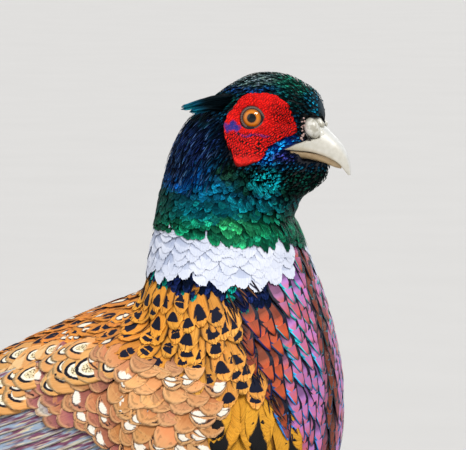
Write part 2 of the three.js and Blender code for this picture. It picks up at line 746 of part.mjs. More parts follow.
function tailFeather(k, side) {
  const share = k / (TAIL_LENGTHS.length - 1);
  const half = THREE.MathUtils.lerp(...TAIL_HALF, share);
  const level = TAIL_TOP - TAIL_STEP * (k + (k === 0 && side > 0 ? -TOP_STAGGER : 0));
  return vane(
    (k < LONG_PAIRS ? TAIL_ROWS : SHORT_TAIL_ROWS).map(([t, width]) => {
      const along = TAIL_LENGTHS[k] * t;
      const fan = THREE.MathUtils.lerp(TAIL_FAN_START, 1, Math.min(1, along / TAIL_FAN_LENGTH));
      const closing = 1 - t * (k ? OUTER_CLOSING * share : MIDDLE_CLOSING);
      const centre = side * TAIL_CENTRES[k] * fan * closing;
      const point = (across) => inTail(along, across, level - ROOF_DROOP * across * across);
      return {
        left: point(centre - half * width),
        middle: point(centre),
        right: point(centre + half * width),
        outward: TAIL_UP,
      };
    }),
  );
}

// The tail's base inside its coverts: place along the tail, half width, top, bottom
const TAIL_CORE = [[-12, 10, 8, -11], [16, 14, 9, -12], [40, 22, 8, -13], [62, 19, 4, -10]];
const TAIL_CORE_AROUND = 10;

function tailCore() {
  return loft(
    TAIL_CORE.map(([along, half, top, bottom]) =>
      Array.from({ length: TAIL_CORE_AROUND }, (_, i) => {
        const turn = (2 * Math.PI * i) / TAIL_CORE_AROUND;
        const up = (top + bottom) / 2 + ((top - bottom) / 2) * Math.sin(turn);
        return inTail(along, half * Math.cos(turn), up);
      }),
    ),
  );
}

// Tail coverts: across at the tip, place of the tip, height of root and tip over the tail's middle line
const TAIL_COVERTS = [
  [-18, 96, 6, 5.6],
  [18, 96, 6, 5.6],
  [-9, 124, 6.6, 6.6],
  [9, 124, 6.6, 7.6],
  [0, 100, 7, 8.6],
  [-10, 92, -9.6, -13.6],
  [10, 92, -9.6, -14.6],
  [0, 112, -9.8, -15.6],
];
const COVERT_HALF = 10;
const COVERT_ROOT = 26;
const COVERT_ROOT_ACROSS = 0.7;
const UNDER_DROOP = 0.3 * ROOF_DROOP;

function tailCovert([across, reach, rootUp, tipUp]) {
  return vane(
    LONG_VANE_ROWS.map(([t, width]) => {
      const along = THREE.MathUtils.lerp(COVERT_ROOT, reach, t);
      const centre = across * THREE.MathUtils.lerp(COVERT_ROOT_ACROSS, 1, t);
      const height = THREE.MathUtils.lerp(rootUp, tipUp, t);
      const droop = rootUp > 0 ? ROOF_DROOP : UNDER_DROOP;
      const point = (offset) => inTail(along, centre + offset, height - droop * (centre + offset) ** 2);
      return {
        left: point(-COVERT_HALF * width),
        middle: point(0),
        right: point(COVERT_HALF * width),
        outward: TAIL_UP,
      };
    }),
  );
}

function tail() {
  const feathers = TAIL_LENGTHS.flatMap((_, k) => [tailFeather(k, 1), tailFeather(k, -1)]);
  const coverts = TAIL_COVERTS.map(tailCovert);
  return largest(wasm.Manifold.union([tailCore(), ...feathers, ...coverts]).subtract(bodyGrown));
}

// Legs. The two feet stand a little apart along the body, as in a quiet stance
const FOOT_JOINT_Z = 7;
const LEGS = [
  { name: "left", side: 1, footX: 4 },
  { name: "right", side: -1, footX: -14 },
];
const FOOT_Y = 33;
const HOCK = { back: 20, z: 84 };
const KNEE = { x: 12, y: 35, z: 150, shift: 0.4 };

const hockOf = ({ side, footX }) => new THREE.Vector3(footX - HOCK.back, side * FOOT_Y, HOCK.z);
const footOf = ({ side, footX }) => new THREE.Vector3(footX, side * FOOT_Y, FOOT_JOINT_Z);
const kneeOf = ({ side, footX }) =>
  new THREE.Vector3(KNEE.x + KNEE.shift * footX, side * KNEE.y, KNEE.z);

// A round limb along a line of points, each with a forward and a sideways half size
function limb(stations, around, grow = 0) {
  return loft(
    stations.map(({ at, fore, wide, direction }) => {
      const ahead = direction.clone().normalize();
      const across = new THREE.Vector3(0, 1, 0).addScaledVector(ahead, -ahead.y).normalize();
      const front = across.clone().cross(ahead);
      return Array.from({ length: around }, (_, i) => {
        const turn = (2 * Math.PI * i) / around;
        return at
          .clone()
          .addScaledVector(front, (fore + grow) * Math.cos(turn))
          .addScaledVector(across, (wide + grow) * Math.sin(turn));
      });
    }),
  );
}

// Feathered thigh: share of the way from the knee to the hock, fore and side half sizes
const THIGH_SECTIONS = [
  [-0.1, 17, 11],
  [0.1, 29, 18.5],
  [0.36, 28, 19],
  [0.56, 21, 15.5],
  [0.76, 13, 10.5],
  [0.92, 7.4, 6.6],
  [1, 5, 4.6],
];
const THIGH_END = 0.93;
const LEG_AROUND = 12;

function thigh(leg) {
  const [knee, hock] = [kneeOf(leg), hockOf(leg)];
  const direction = hock.clone().sub(knee);
  return limb(
    THIGH_SECTIONS.map(([t, fore, wide]) => {
      const at = knee.clone().lerp(hock, t * THIGH_END);
      return { at, fore, wide, direction };
    }),
    LEG_AROUND,
  );
}

// Scaled shank: share of the way from the hock to the foot joint, fore and side half sizes
const SHANK_SECTIONS = [
  [0, 5.4, 4.9],
  [0.05, 5.8, 5.2],
  [0.12, 5, 4.2],
  [0.3, 4, 3.3],
  [0.6, 3.7, 3.2],
  [0.85, 4, 3.8],
  [0.95, 4.8, 4.8],
  [1, 4.6, 4.8],
];
const HOCK_TOP = { up: 9, fore: 4.4, wide: 4.2 };

function shank(leg, grow = 0) {
  const [hock, foot] = [hockOf(leg), footOf(leg)];
  const knee = kneeOf(leg);
  const upward = knee.clone().sub(hock).normalize();
  const direction = foot.clone().sub(hock);
  const stations = SHANK_SECTIONS.map(([t, fore, wide]) => {
    const centre = hock.clone().lerp(foot, t);
    return { at: centre, fore, wide, direction };
  });
  const { up, fore, wide } = HOCK_TOP;
  const at = hock.clone().addScaledVector(upward, up);
  const top = { at, fore, wide, direction: upward.clone().negate() };
  return limb([top, ...stations], LEG_AROUND, grow);
}

// Toes: turn outward from straight ahead, length without the claw, thickness at root and tip, pads
const TOES = [
  { name: "inner", turn: 30, length: 36, root: 3.6, tip: 2.5, pads: 2 },
  { name: "middle", turn: 2, length: 51, root: 3.9, tip: 2.6, pads: 3 },
  { name: "outer", turn: -30, length: 38, root: 3.6, tip: 2.4, pads: 3 },
  { name: "hind", turn: 172, length: 13, root: 2.7, tip: 2.1, pads: 1 },
];
const TOE_START = 4.6;
const CLAW_LENGTH = 10;
const PAD_DEPTH = 0.12;
const PAD_START = -0.6;
const PAD_TURNS = 1.98 * Math.PI;
const TOE_SETTLE = 2.4;
const TOE_CURVE = 0.8;
const TOE_HIGH = 0.86;
const HIND_CLAW = 0.8;
const TOE_RINGS = 6;
const TOE_AROUND = 8;
const FOOT_TURN_OUT = 6;

function toeDirection(leg, toe) {
  const turn = leg.side * (FOOT_TURN_OUT - toe.turn) * DEGREE;
  return new THREE.Vector3(Math.cos(turn), Math.sin(turn), 0);
}

// The toe's middle line comes down from the foot joint to lie along the floor
function toeLine(leg, toe, t) {
  const reach = TOE_START + (toe.length - TOE_START) * t;
  const thick = THREE.MathUtils.lerp(toe.root, toe.tip, t);
  const settled = Math.min(1, t * TOE_SETTLE) ** TOE_CURVE;
  const high = THREE.MathUtils.lerp(FOOT_JOINT_Z - 1, thick * TOE_HIGH, settled);
  return footOf(leg).setZ(high).addScaledVector(toeDirection(leg, toe), reach);
}

function toeSolid(leg, toe, grow = 0) {
  const rings = Array.from({ length: TOE_RINGS + 1 }, (_, i) => {
    const t = i / TOE_RINGS;
    const swell = 1 + PAD_DEPTH * Math.sin(PAD_TURNS * toe.pads * t + PAD_START);
    const thick = THREE.MathUtils.lerp(toe.root, toe.tip, t) * swell + grow;
    const at = toeLine(leg, toe, t);
    const across = new THREE.Vector3(0, 0, 1).cross(toeDirection(leg, toe));
    return Array.from({ length: TOE_AROUND }, (_, k) => {
      const turn = (2 * Math.PI * (k + 0.5)) / TOE_AROUND;
      return at
        .clone()
        .addScaledVector(across, thick * Math.cos(turn))
        .add(new THREE.Vector3(0, 0, thick * Math.sin(turn)));
    });
  });
  return loft(rings).trimByPlane([0, 0, 1], 0);
}

// Claws: share of the toe's thickness at the root, rise of the middle line, least half thickness
const CLAW = { root: 0.62, start: 0.6, arch: 1.1, least: 0.25, taper: 0.8, narrow: 0.8 };
const CLAW_TIP_HIGH = 0.2;
const CLAW_CLEAR = 0.05;
const CLAW_STATIONS = [0, 0.35, 0.7, 1];
const CLAW_AROUND = 6;

function claw(leg, toe, grow = 0) {
  const direction = toeDirection(leg, toe);
  const across = new THREE.Vector3(0, 0, 1).cross(direction);
  const length = toe.name === "hind" ? CLAW_LENGTH * HIND_CLAW : CLAW_LENGTH;
  const start = toeLine(leg, toe, 1);
  return loft(
    CLAW_STATIONS.map((t) => {
      const half = (1 - t) ** CLAW.taper * toe.tip * CLAW.root + CLAW.least + grow;
      const arch = CLAW.arch * Math.sin(Math.PI * t * CLAW.taper);
      const high = start.z + CLAW.start + arch - t * (start.z - CLAW_TIP_HIGH);
      const at = start.clone().addScaledVector(direction, GAP + length * t);
      at.setZ(Math.max(high, half + CLAW_CLEAR));
      return Array.from({ length: CLAW_AROUND }, (_, k) => {
        const turn = (2 * Math.PI * k) / CLAW_AROUND;
        return at
          .clone()
          .addScaledVector(across, CLAW.narrow * half * Math.cos(turn))
          .add(new THREE.Vector3(0, 0, half * Math.sin(turn)));
      });
    }),
  );
}

// Spur: height on the shank, size, where it starts behind and inside the shank's middle, its bend
const SPUR = { up: 20, length: 13, half: 3.1, drop: 3, bend: 2.2, least: 0.3, flat: 0.85 };
const SPUR_ROOT = { back: 1.5, inward: 0.8 };
const SPUR_TURN_IN = 3.5;
const SPUR_STATIONS = [0, 0.3, 0.55, 0.8, 1];
const SPUR_AROUND = 8;

function spur(leg, shankGrown) {
  const foot = footOf(leg);
  const upward = hockOf(leg).sub(foot).normalize();
  const root = new THREE.Vector3(-SPUR_ROOT.back, -leg.side * SPUR_ROOT.inward, 0);
  const start = foot.addScaledVector(upward, SPUR.up).add(root);
  const direction = new THREE.Vector3(-SPUR.length, -leg.side * SPUR_TURN_IN, -SPUR.drop);
  const stations = SPUR_STATIONS.map((t) => ({
    at: start.clone().addScaledVector(direction, t).add(new THREE.Vector3(0, 0, SPUR.bend * t * t)),
    fore: SPUR.half * (1 - t) ** CLAW.taper + SPUR.least,
    wide: SPUR.half * SPUR.flat * (1 - t) ** CLAW.taper + SPUR.least,
    direction,
  }));
  return largest(limb(stations, SPUR_AROUND).subtract(shankGrown));
}

const COLOURS = {
  torso: "#a8622c",
  collar: "#e9ecf2",
  green: "#0e4a44",
  bill: "#d9d6c4",
  eye: "#c9751a",
  wing: "#a97358",
  tail: "#9b7d4e",
  thigh: "#4a3524",
  leg: "#7d7a72",
  claw: "#4c463e",
};

addNode("torso", torso, COLOURS.torso);
addNode("neck_collar", collar, COLOURS.collar);
addNode("neck_upper", upperNeck, COLOURS.green, 0.5);
addNode("head", head, COLOURS.green, 0.5);
addNode("bill_upper", upper, COLOURS.bill, 0.35);
addNode("bill_lower", lower, COLOURS.bill, 0.35);
addNode("tail", tail(), COLOURS.tail);
[["left", 1], ["right", -1]].forEach(([name, side]) => {
  addNode(`eye_${name}`, eyeball(side, EYE_RADIUS), COLOURS.eye, 0.1);
  addNode(`wing_${name}`, wing(side), COLOURS.wing);
});

LEGS.forEach((leg) => {
  const taken = [shank(leg, GAP)];
  addNode(`thigh_${leg.name}`, largest(thigh(leg).subtract(bodyGrown).subtract(taken[0])), COLOURS.thigh);
  addNode(`shank_${leg.name}`, shank(leg), COLOURS.leg, 0.6);
  addNode(`spur_${leg.name}`, spur(leg, taken[0]), COLOURS.claw, 0.5);
  TOES.forEach((toe) => {
    const cutters = wasm.Manifold.union([...taken, claw(leg, toe, GAP)]);
    addNode(`toe_${toe.name}_${leg.name}`, largest(toeSolid(leg, toe).subtract(cutters)), COLOURS.leg, 0.6);
    addNode(`claw_${toe.name}_${leg.name}`, claw(leg, toe), COLOURS.claw, 0.5);
    taken.push(toeSolid(leg, toe, GAP));
  });
});

// The origin is on the floor under the middle of the bird's box
const box = new THREE.Box3().setFromObject(group);
group.position.set(-(box.min.x + box.max.x) / 2, -(box.min.y + box.max.y) / 2, -box.min.z);

export default group;
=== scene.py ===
import bpy
import numpy as np
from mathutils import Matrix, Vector


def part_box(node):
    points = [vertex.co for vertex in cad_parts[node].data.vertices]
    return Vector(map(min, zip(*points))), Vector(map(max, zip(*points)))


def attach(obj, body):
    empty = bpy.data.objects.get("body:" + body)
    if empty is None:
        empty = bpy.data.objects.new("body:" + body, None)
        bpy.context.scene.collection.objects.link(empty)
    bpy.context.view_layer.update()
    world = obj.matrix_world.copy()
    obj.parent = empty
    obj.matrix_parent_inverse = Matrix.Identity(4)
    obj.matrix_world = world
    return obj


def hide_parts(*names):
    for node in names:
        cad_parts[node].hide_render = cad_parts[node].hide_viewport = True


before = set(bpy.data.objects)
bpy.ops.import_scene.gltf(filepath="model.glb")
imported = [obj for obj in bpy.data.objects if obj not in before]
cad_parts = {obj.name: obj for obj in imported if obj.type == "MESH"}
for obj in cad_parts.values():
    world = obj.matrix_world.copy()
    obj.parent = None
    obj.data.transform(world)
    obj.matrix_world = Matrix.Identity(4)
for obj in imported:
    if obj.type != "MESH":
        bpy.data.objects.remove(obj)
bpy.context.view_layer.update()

DEG = np.pi / 180
UP = np.array([0, 0, 1.0])
rng = np.random.default_rng(11)

# The bird's skin, in millimetres, before it is moved to the row's frame
BODY_PITCH, BODY_HEIGHT = 22 * DEG, 190
NECK_X, EYE_X, EYE_Z = 79.0, 97.0, 371.0
HEAD_TURN, TURN_FROM_Z, TURN_TO_Z = 9 * DEG, 285.0, 332.0
# where neck and head begin along the skin, how far it runs per degree, and the pivots they turn round
NECK_FROM, NECK_PER_DEGREE, NECK_FIRST_DEGREE, NECK_PIVOT_UP = 61, 1.25, 68, 113.8
HEAD_FROM, HEAD_PER_DEGREE, HEAD_PIVOT = 150, 1.03, (NECK_X + 58, EYE_Z - 49)
# place along the axis, height of the back above it, depth of the belly below it, half width
TORSO_SECTIONS = [
    [-175, 42, -12, 14], [-139, 52, 10, 27], [-103, 60.5, 32, 40], [-67, 67.5, 51, 49],
    [-31, 72, 65, 55], [5, 74.5, 73, 57.5], [41, 75.5, 75.5, 57.5], [61, 75, 75.5, 57],
]
# degrees below level, distance from the pivot behind the neck to nape and breast, half width
NECK_SECTIONS = [
    [56.7, 39.3, 177.5, 56.5], [45.3, 38.5, 165.8, 54], [34, 33.4, 146, 50],
    [22.7, 30.2, 125.8, 44.5], [11.3, 29.5, 109.4, 39.5], [0, 30, 98.8, 36],
]
# degrees round the pivot before the throat, distance from it to throat and crown, half width
HEAD_SECTIONS = [
    [180, 26.4, 92.2, 34.5], [170.4, 25, 90.8, 33], [160.8, 23.9, 90.3, 30.5], [151.1, 22.8, 89.8, 27.5],
    [141.5, 21, 87.5, 23.8], [131.9, 20.2, 85.2, 20.2], [122.3, 20.3, 82.2, 18], [112.6, 21.7, 75, 15.6],
    [105, 26, 66.5, 12.2], [101.5, 32, 61.5, 9], [99.5, 41, 57, 5.5],
]


def smooth(x, lo, hi):
    t = np.clip((np.asarray(x, float) - lo) / (hi - lo), 0, 1)
    return t * t * (3 - 2 * t)


def lerp(a, b, t):
    return a + (b - a) * t


def unit(v):
    return v / np.maximum(np.linalg.norm(v, axis=-1, keepdims=True), 1e-9)


def turns_of(count):
    return np.arange(count) / count * 2 * np.pi


def spline(a, b, slope_a, slope_b, t):
    return a * (1 + 2 * t) * (1 - t) ** 2 + slope_a * t * (1 - t) ** 2 + b * t * t * (3 - 2 * t) \
        + slope_b * t * t * (t - 1)


def through(table, t):
    """Smooth rows at t (0..1) through the rows of a table."""
    table = np.asarray(table, float)
    last = len(table) - 1
    x = np.clip(np.asarray(t, float), 0, 1) * last
    i = np.minimum(np.floor(x).astype(int), last - 1)
    slope = np.gradient(table, axis=0)
    return spline(table[i], table[i + 1], slope[i], slope[i + 1], (x - i)[..., None])


def in_body(along, up):
    c, s = np.cos(BODY_PITCH), np.sin(BODY_PITCH)
    return np.array([along * c - up * s, BODY_HEIGHT + along * s + up * c])


def section_table():
    """Rows of place along the skin, x and z of the upper and lower edge, half width, where it is widest."""
    rows = [[a, *in_body(a, top), *in_body(a, -low), half, 0.5] for a, top, low, half in TORSO_SECTIONS]
    pivot = in_body(NECK_FROM, NECK_PIVOT_UP)
    for below, nape, breast, half in NECK_SECTIONS:
        way = np.array([np.cos(below * DEG), -np.sin(below * DEG)])
        at = NECK_FROM + (NECK_FIRST_DEGREE - below) * NECK_PER_DEGREE
        rows.append([at, *(pivot + nape * way), *(pivot + breast * way), half, 0.5])
    pivot = np.array(HEAD_PIVOT)
    for i, (angle, throat, crown, half) in enumerate(HEAD_SECTIONS):
        way = np.array([np.cos(angle * DEG), np.sin(angle * DEG)])
        at, widest = HEAD_FROM + (180 - angle) * HEAD_PER_DEGREE, min(0.58, 0.5 + 0.02 * i)
        rows.append([at, *(pivot + crown * way), *(pivot + throat * way), half, widest])
    return np.array(rows)


SECTIONS = section_table()
AFTER = np.minimum(np.arange(len(SECTIONS)) + 1, len(SECTIONS) - 1)
BEFORE = np.maximum(np.arange(len(SECTIONS)) - 1, 0)
SLOPES = (SECTIONS[AFTER] - SECTIONS[BEFORE]) / (SECTIONS[AFTER, :1] - SECTIONS[BEFORE, :1])
BODY_REAR, BODY_FRONT = SECTIONS[0, 0], SECTIONS[-1, 0]
# the ways along and round the skin are taken no nearer to its ends
END_MARGIN = 0.6


def section(at):
    i = np.clip(np.searchsorted(SECTIONS[:, 0], at, side="right") - 1, 0, len(SECTIONS) - 2)
    a, b = SECTIONS[i], SECTIONS[i + 1]
    span = (b[..., 0] - a[..., 0])[..., None]
    t = (np.asarray(at)[..., None] - a[..., 0:1]) / span
    return spline(a, b, SLOPES[i] * span, SLOPES[i + 1] * span, t)


def face_width(x, z):
    """Share of its width that the face keeps as it narrows from the eye forward to the bill."""
    narrowed = 1 - 0.44 - 0.34 * smooth(z, EYE_Z - 4, EYE_Z + 8)
    return 1 - narrowed * smooth(z, EYE_Z - 50, EYE_Z - 22) * smooth(x, EYE_X, EYE_X + 15)


def straight_skin(at, th):
    """The skin before the head turns. th is 0 on the back and grows to the left."""
    s = section(np.clip(at, BODY_REAR, BODY_FRONT))
    dx, dz, vx, vz, half, widest = (s[..., k] for k in range(1, 7))
    cx, cz, c = dx + (vx - dx) * widest, dz + (vz - dz) * widest, np.cos(th)
    ex, ez = np.where(c >= 0, dx - cx, cx - vx), np.where(c >= 0, dz - cz, cz - vz)
    p = np.stack([cx + ex * c, half * np.sin(th), cz + ez * c], -1)
    p[..., 1] *= face_width(p[..., 0], p[..., 2])
    return p


def turned(p):
    """Points after the head's turn, which fades out down the neck."""
    angle = HEAD_TURN * smooth(p[..., 2], TURN_FROM_Z, TURN_TO_Z)
    x, y, c, s = p[..., 0] - NECK_X, p[..., 1], np.cos(angle), np.sin(angle)
    return np.stack([NECK_X + x * c - y * s, x * s + y * c, p[..., 2]], -1)


def skin(at, th):
    return turned(straight_skin(at, th))


def outward_of(place, a, th):
    along = place(a + 0.5, th) - place(a - 0.5, th)
    return unit(np.cross(along, place(a, th + 0.01) - place(a, th - 0.01)))


def lifted(place, a, th, lift):
    return place(a, th) + outward_of(place, a, th) * np.asarray(lift)[..., None]


def on_side(x, z, side):
    """The place and angle on the skin of points given in side view."""
    x, z = np.broadcast_arrays(np.asarray(x, float), np.asarray(z, float))
    lo, hi = np.full(x.shape, 130.0), np.full(x.shape, BODY_FRONT - 0.5)
    for _ in range(36):
        mid = (lo + hi) / 2
        s = section(mid)
        low = (s[..., 1] - s[..., 3]) * (z - s[..., 4]) - (s[..., 2] - s[..., 4]) * (x - s[..., 3]) < 0
        lo, hi = np.where(low, mid, lo), np.where(low, hi, mid)
    dx, dz, vx, vz, _, widest = (section(lo)[..., k] for k in range(1, 7))
    down = 1 - ((x - vx) * (dx - vx) + (z - vz) * (dz - vz)) / ((dx - vx) ** 2 + (dz - vz) ** 2)
    c = np.where(down < widest, (widest - down) / widest, -(down - widest) / (1 - widest))
    return lo, side * np.arccos(np.clip(c, -0.98, 0.98))


# Eyes, which also give the move to the row's frame
EYE_RADIUS, EYE_PROUD, EYE_FORWARD = 7.2, 1.1, 8 * DEG
SIDES = (("left", 1), ("right", -1))


def eye_axis(side):
    return unit(np.array([np.sin(EYE_FORWARD), side * np.cos(EYE_FORWARD), 0.06]))


def eye_centre(side):
    return straight_skin(*on_side(EYE_X, EYE_Z, side)) + eye_axis(side) * (EYE_PROUD - EYE_RADIUS)


SHIFT = np.mean(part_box("eye_right"), axis=0) * 1000 - turned(eye_centre(-1))


def to_row(points):
    """Points in the row's frame, in metres."""
    return (np.asarray(points, float) + SHIFT) / 1000


# Materials from expressions
def paint(code):
    """Linear colour from a web colour."""
    c = np.array([int(code[k:k + 2], 16) / 255 for k in (1, 3, 5)])
    return np.where(c <= 0.04045, c / 12.92, ((c + 0.055) / 1.055) ** 2.4)


# radians in a full and in a quarter turn, for the waves of the materials
FULL_TURN, QUARTER_TURN = 6.283, 1.57


class Draw:
    """One material, drawn with arithmetic on node sockets."""

    def __init__(self, name, roughness=0.6, **sockets):
        self.material = bpy.data.materials.new(name)
        self.material.use_nodes = True
        self.tree = self.material.node_tree
        self.tree.nodes.clear()
        output = self.tree.nodes.new("ShaderNodeOutputMaterial")
        self.shader = self.tree.nodes.new("ShaderNodeBsdfPrincipled")
        self.tree.links.new(self.shader.outputs[0], output.inputs[0])
        for key, value in {"Roughness": roughness, **sockets}.items():
            self.shader.inputs[key.replace("_", " ")].default_value = value

    def put(self, socket, value):
        if isinstance(value, Value):
            self.tree.links.new(value.socket, socket)
        else:
            socket.default_value = (*paint(value), 1.0) if isinstance(value, str) else value

    def add(self, kind, inputs=(), output=0, **settings):
        """A node with its settings and inputs, as the value of one of its outputs."""
        node = self.tree.nodes.new("ShaderNode" + kind)
        for key, value in settings.items():
            setattr(node, key, value)
        for key, value in dict(inputs).items():
            self.put(node.inputs[key], value)
        return Value(self, node.outputs[output])

    def math(self, operation, *parts, clamp=False):
        return self.add("Math", enumerate(parts), operation=operation, use_clamp=clamp)

    def number(self, attribute):
        return self.add("Attribute", output="Fac", attribute_name=attribute)

    def colour(self, attribute):
        return self.add("Attribute", output="Color", attribute_name=attribute)

    def across_along(self):
        """u from -1 to 1 across the feather, v from 0 at the root to 1 at the tip."""
        across = self.add("SeparateXYZ", {0: self.add("UVMap", uv_map="Feather")})
        return across * 2 - 1, Value(self, across.socket.node.outputs[1])

    def space(self):
        return self.add("TexCoord", output="Object")

    def vector(self, x, y, z):
        return self.add("CombineXYZ", enumerate((x, y, z)))

    def noise(self, vector, scale, detail=2.0):
        return self.add("TexNoise", {"Vector": vector, "Scale": scale, "Detail": detail})

    def step(self, value, lo, hi):
        ends = {"Value": value, "From Min": lo, "From Max": hi}
        return self.add("MapRange", ends, interpolation_type="SMOOTHSTEP")

    def mix(self, share, a, b):
        return self.add("Mix", {0: share, 6: a, 7: b}, output=2, data_type="RGBA")

    def shade(self, colour, amount):
        """The colour times a number."""
        return self.add("VectorMath", {0: colour, "Scale": amount}, operation="SCALE")

    def tone(self, share, colour, amount):
        """The colour with a share of it darker, or lighter for an amount above one."""
        return self.mix(share, colour, self.shade(colour, amount))

    def finish(self, colour, height=None, strength=0.5, distance=0.0004):
        self.put(self.shader.inputs["Base Color"], colour)
        if height is not None:
            bump = self.add("Bump", {"Strength": strength, "Distance": distance, "Height": height})
            self.put(self.shader.inputs["Normal"], bump)
        return self.material


class Value:
    """One output of a node. Arithmetic on it adds nodes."""

    def __init__(self, draw, socket):
        self.draw, self.socket = draw, socket

    def __radd__(self, other):
        return self.draw.math("ADD", other, self)

    def __rsub__(self, other):
        return self.draw.math("SUBTRACT", other, self)

    def clamp(self):
        return self.draw.math("ADD", self, 0.0, clamp=True)


def arithmetic(operation):
    """A method of Value that puts it first in a math node."""
    return lambda value, *others: value.draw.math(operation, value, *others)


for method, operation in {
    "__add__": "ADD", "__sub__": "SUBTRACT", "__mul__": "MULTIPLY", "__rmul__": "MULTIPLY",
    "__truediv__": "DIVIDE", "__pow__": "POWER", "__abs__": "ABSOLUTE",
    "max": "MAXIMUM", "min": "MINIMUM", "wave": "SINE",
}.items():
    setattr(Value, method, arithmetic(operation))


def vane(name, lines, slant=0.55, **look):
    """A feather's drawing: u, v, its own random number, fine slanted lines and a slower streak for colour."""
    d = Draw(name, **look)
    u, v = d.across_along()
    dice = d.number("dice")
    fine = ((v + abs(u) * -slant) * (lines * FULL_TURN) + dice * 40).wave() * 0.5 + 0.5
    place = d.vector(u * 1.2 + dice * 31, (v - abs(u) * slant) * 16 + dice * 17, 0.0)
    return d, u, v, dice, fine, d.noise(place, 1.6, 3)


def strands(d, u, v, dice, across=6, along=0.8, scale=3.0, detail=2):
    """Noise drawn out along the feather."""
    return d.noise(d.vector(u * across + dice * 23, v * along, dice * 9), scale, detail)


# Meshes
def bake_place(a, th):
    """Where a root lies on the unwrap of the skin."""
    u = 0.02 + 0.96 * ((th / (2 * np.pi)) + 0.5) % 1.0
    v = 0.02 + 0.96 * np.clip((a - BODY_REAR) / (BODY_FRONT - BODY_REAR), 0, 1)
    return np.stack([u, v], -1)


def make_mesh(name, faces, material, replaces=(), numbers=None, colours=None, uvs=None, soft=None):
    """One object from points, loops and starts. The rest is per point; soft says which faces are smooth."""
    points, loops, starts = faces
    mesh = bpy.data.meshes.new(name)
    mesh.vertices.add(len(points))
    mesh.vertices.foreach_set("co", to_row(points).astype(np.float32).ravel())
    mesh.loops.add(len(loops))
    mesh.loops.foreach_set("vertex_index", loops.astype(np.int32))
    mesh.polygons.add(len(starts))
    mesh.polygons.foreach_set("loop_start", starts.astype(np.int32))
    for key, value in (uvs or {}).items():
        mesh.uv_layers.new(name=key).data.foreach_set("uv", value[loops].astype(np.float32).ravel())
    for key, value in (numbers or {}).items():
        mesh.attributes.new(key, "FLOAT", "POINT").data.foreach_set("value", value.astype(np.float32))
    for key, value in (colours or {}).items():
        full = np.ones((len(points), 4), np.float32)
        full[:, :3] = value
        mesh.attributes.new(key, "FLOAT_COLOR", "POINT").data.foreach_set("color", full.ravel())
    mesh.update(calc_edges=True)
    mesh.validate()
    if soft is None or len(soft) != len(mesh.polygons):
        soft = np.ones(len(mesh.polygons), bool)
    mesh.polygons.foreach_set("use_smooth", soft)
    mesh.materials.append(material)
    made = bpy.data.objects.new(name, mesh)
    bpy.context.scene.collection.objects.link(made)
    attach(made, "root")
    if replaces:
        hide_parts(*replaces)
    return made


def grid_quads(rows, around, closed=False):
    """Quads of a grid that closes round each row, and if closed also from the last row to the first."""
    i, j = np.meshgrid(np.arange(rows - (not closed)), np.arange(around), indexing="ij")
    i2, j2 = (i + 1) % rows, (j + 1) % around
    corners = [i * around + j, i2 * around + j, i2 * around + j2, i * around + j2]
    return np.stack(corners, -1).reshape(-1, 4)


def from_quads(points, quads):
    return points, quads.ravel(), np.arange(len(quads)) * 4


def tube(rings, outward=True):
    """A closed skin through rings, with a middle point at each end. Its faces look outward."""
    rows, around = rings.shape[:2]
    points = np.concatenate([rings.reshape(-1, 3), [rings[0].mean(0), rings[-1].mean(0)]])
    quads = grid_quads(rows, around)
    k = np.arange(around)
    k2, last, middle = (k + 1) % around, (rows - 1) * around, np.full(around, rows * around)
    ends = np.concatenate([np.stack([k, k2, middle], -1), np.stack([last + k2, last + k, middle + 1], -1)])
    a, b, c = (points[np.concatenate([quads[:, n], ends[:, n]])] for n in range(3))
    if outward and np.sum(a * np.cross(b, c)) < 0:
        quads, ends = quads[:, ::-1], ends[:, ::-1]
    starts = np.concatenate([np.arange(len(quads)) * 4, len(quads) * 4 + np.arange(len(ends)) * 3])
    return points, np.concatenate([quads.ravel(), ends.ravel()]), starts


def together(parts):
    """Several pairs of faces and numbers per point as one pair."""
    points, loops, starts, numbers = [], [], [], {}
    base = first = 0
    for (p, l, s), extra in parts:
        points.append(p)
        loops.append(l + base)
        starts.append(s + first)
        base, first = base + len(p), first + len(l)
        for key, value in extra.items():
            numbers.setdefault(key, []).append(value)
    stack = np.concatenate
    return (stack(points), stack(loops), stack(starts)), {k: stack(v) for k, v in numbers.items()}


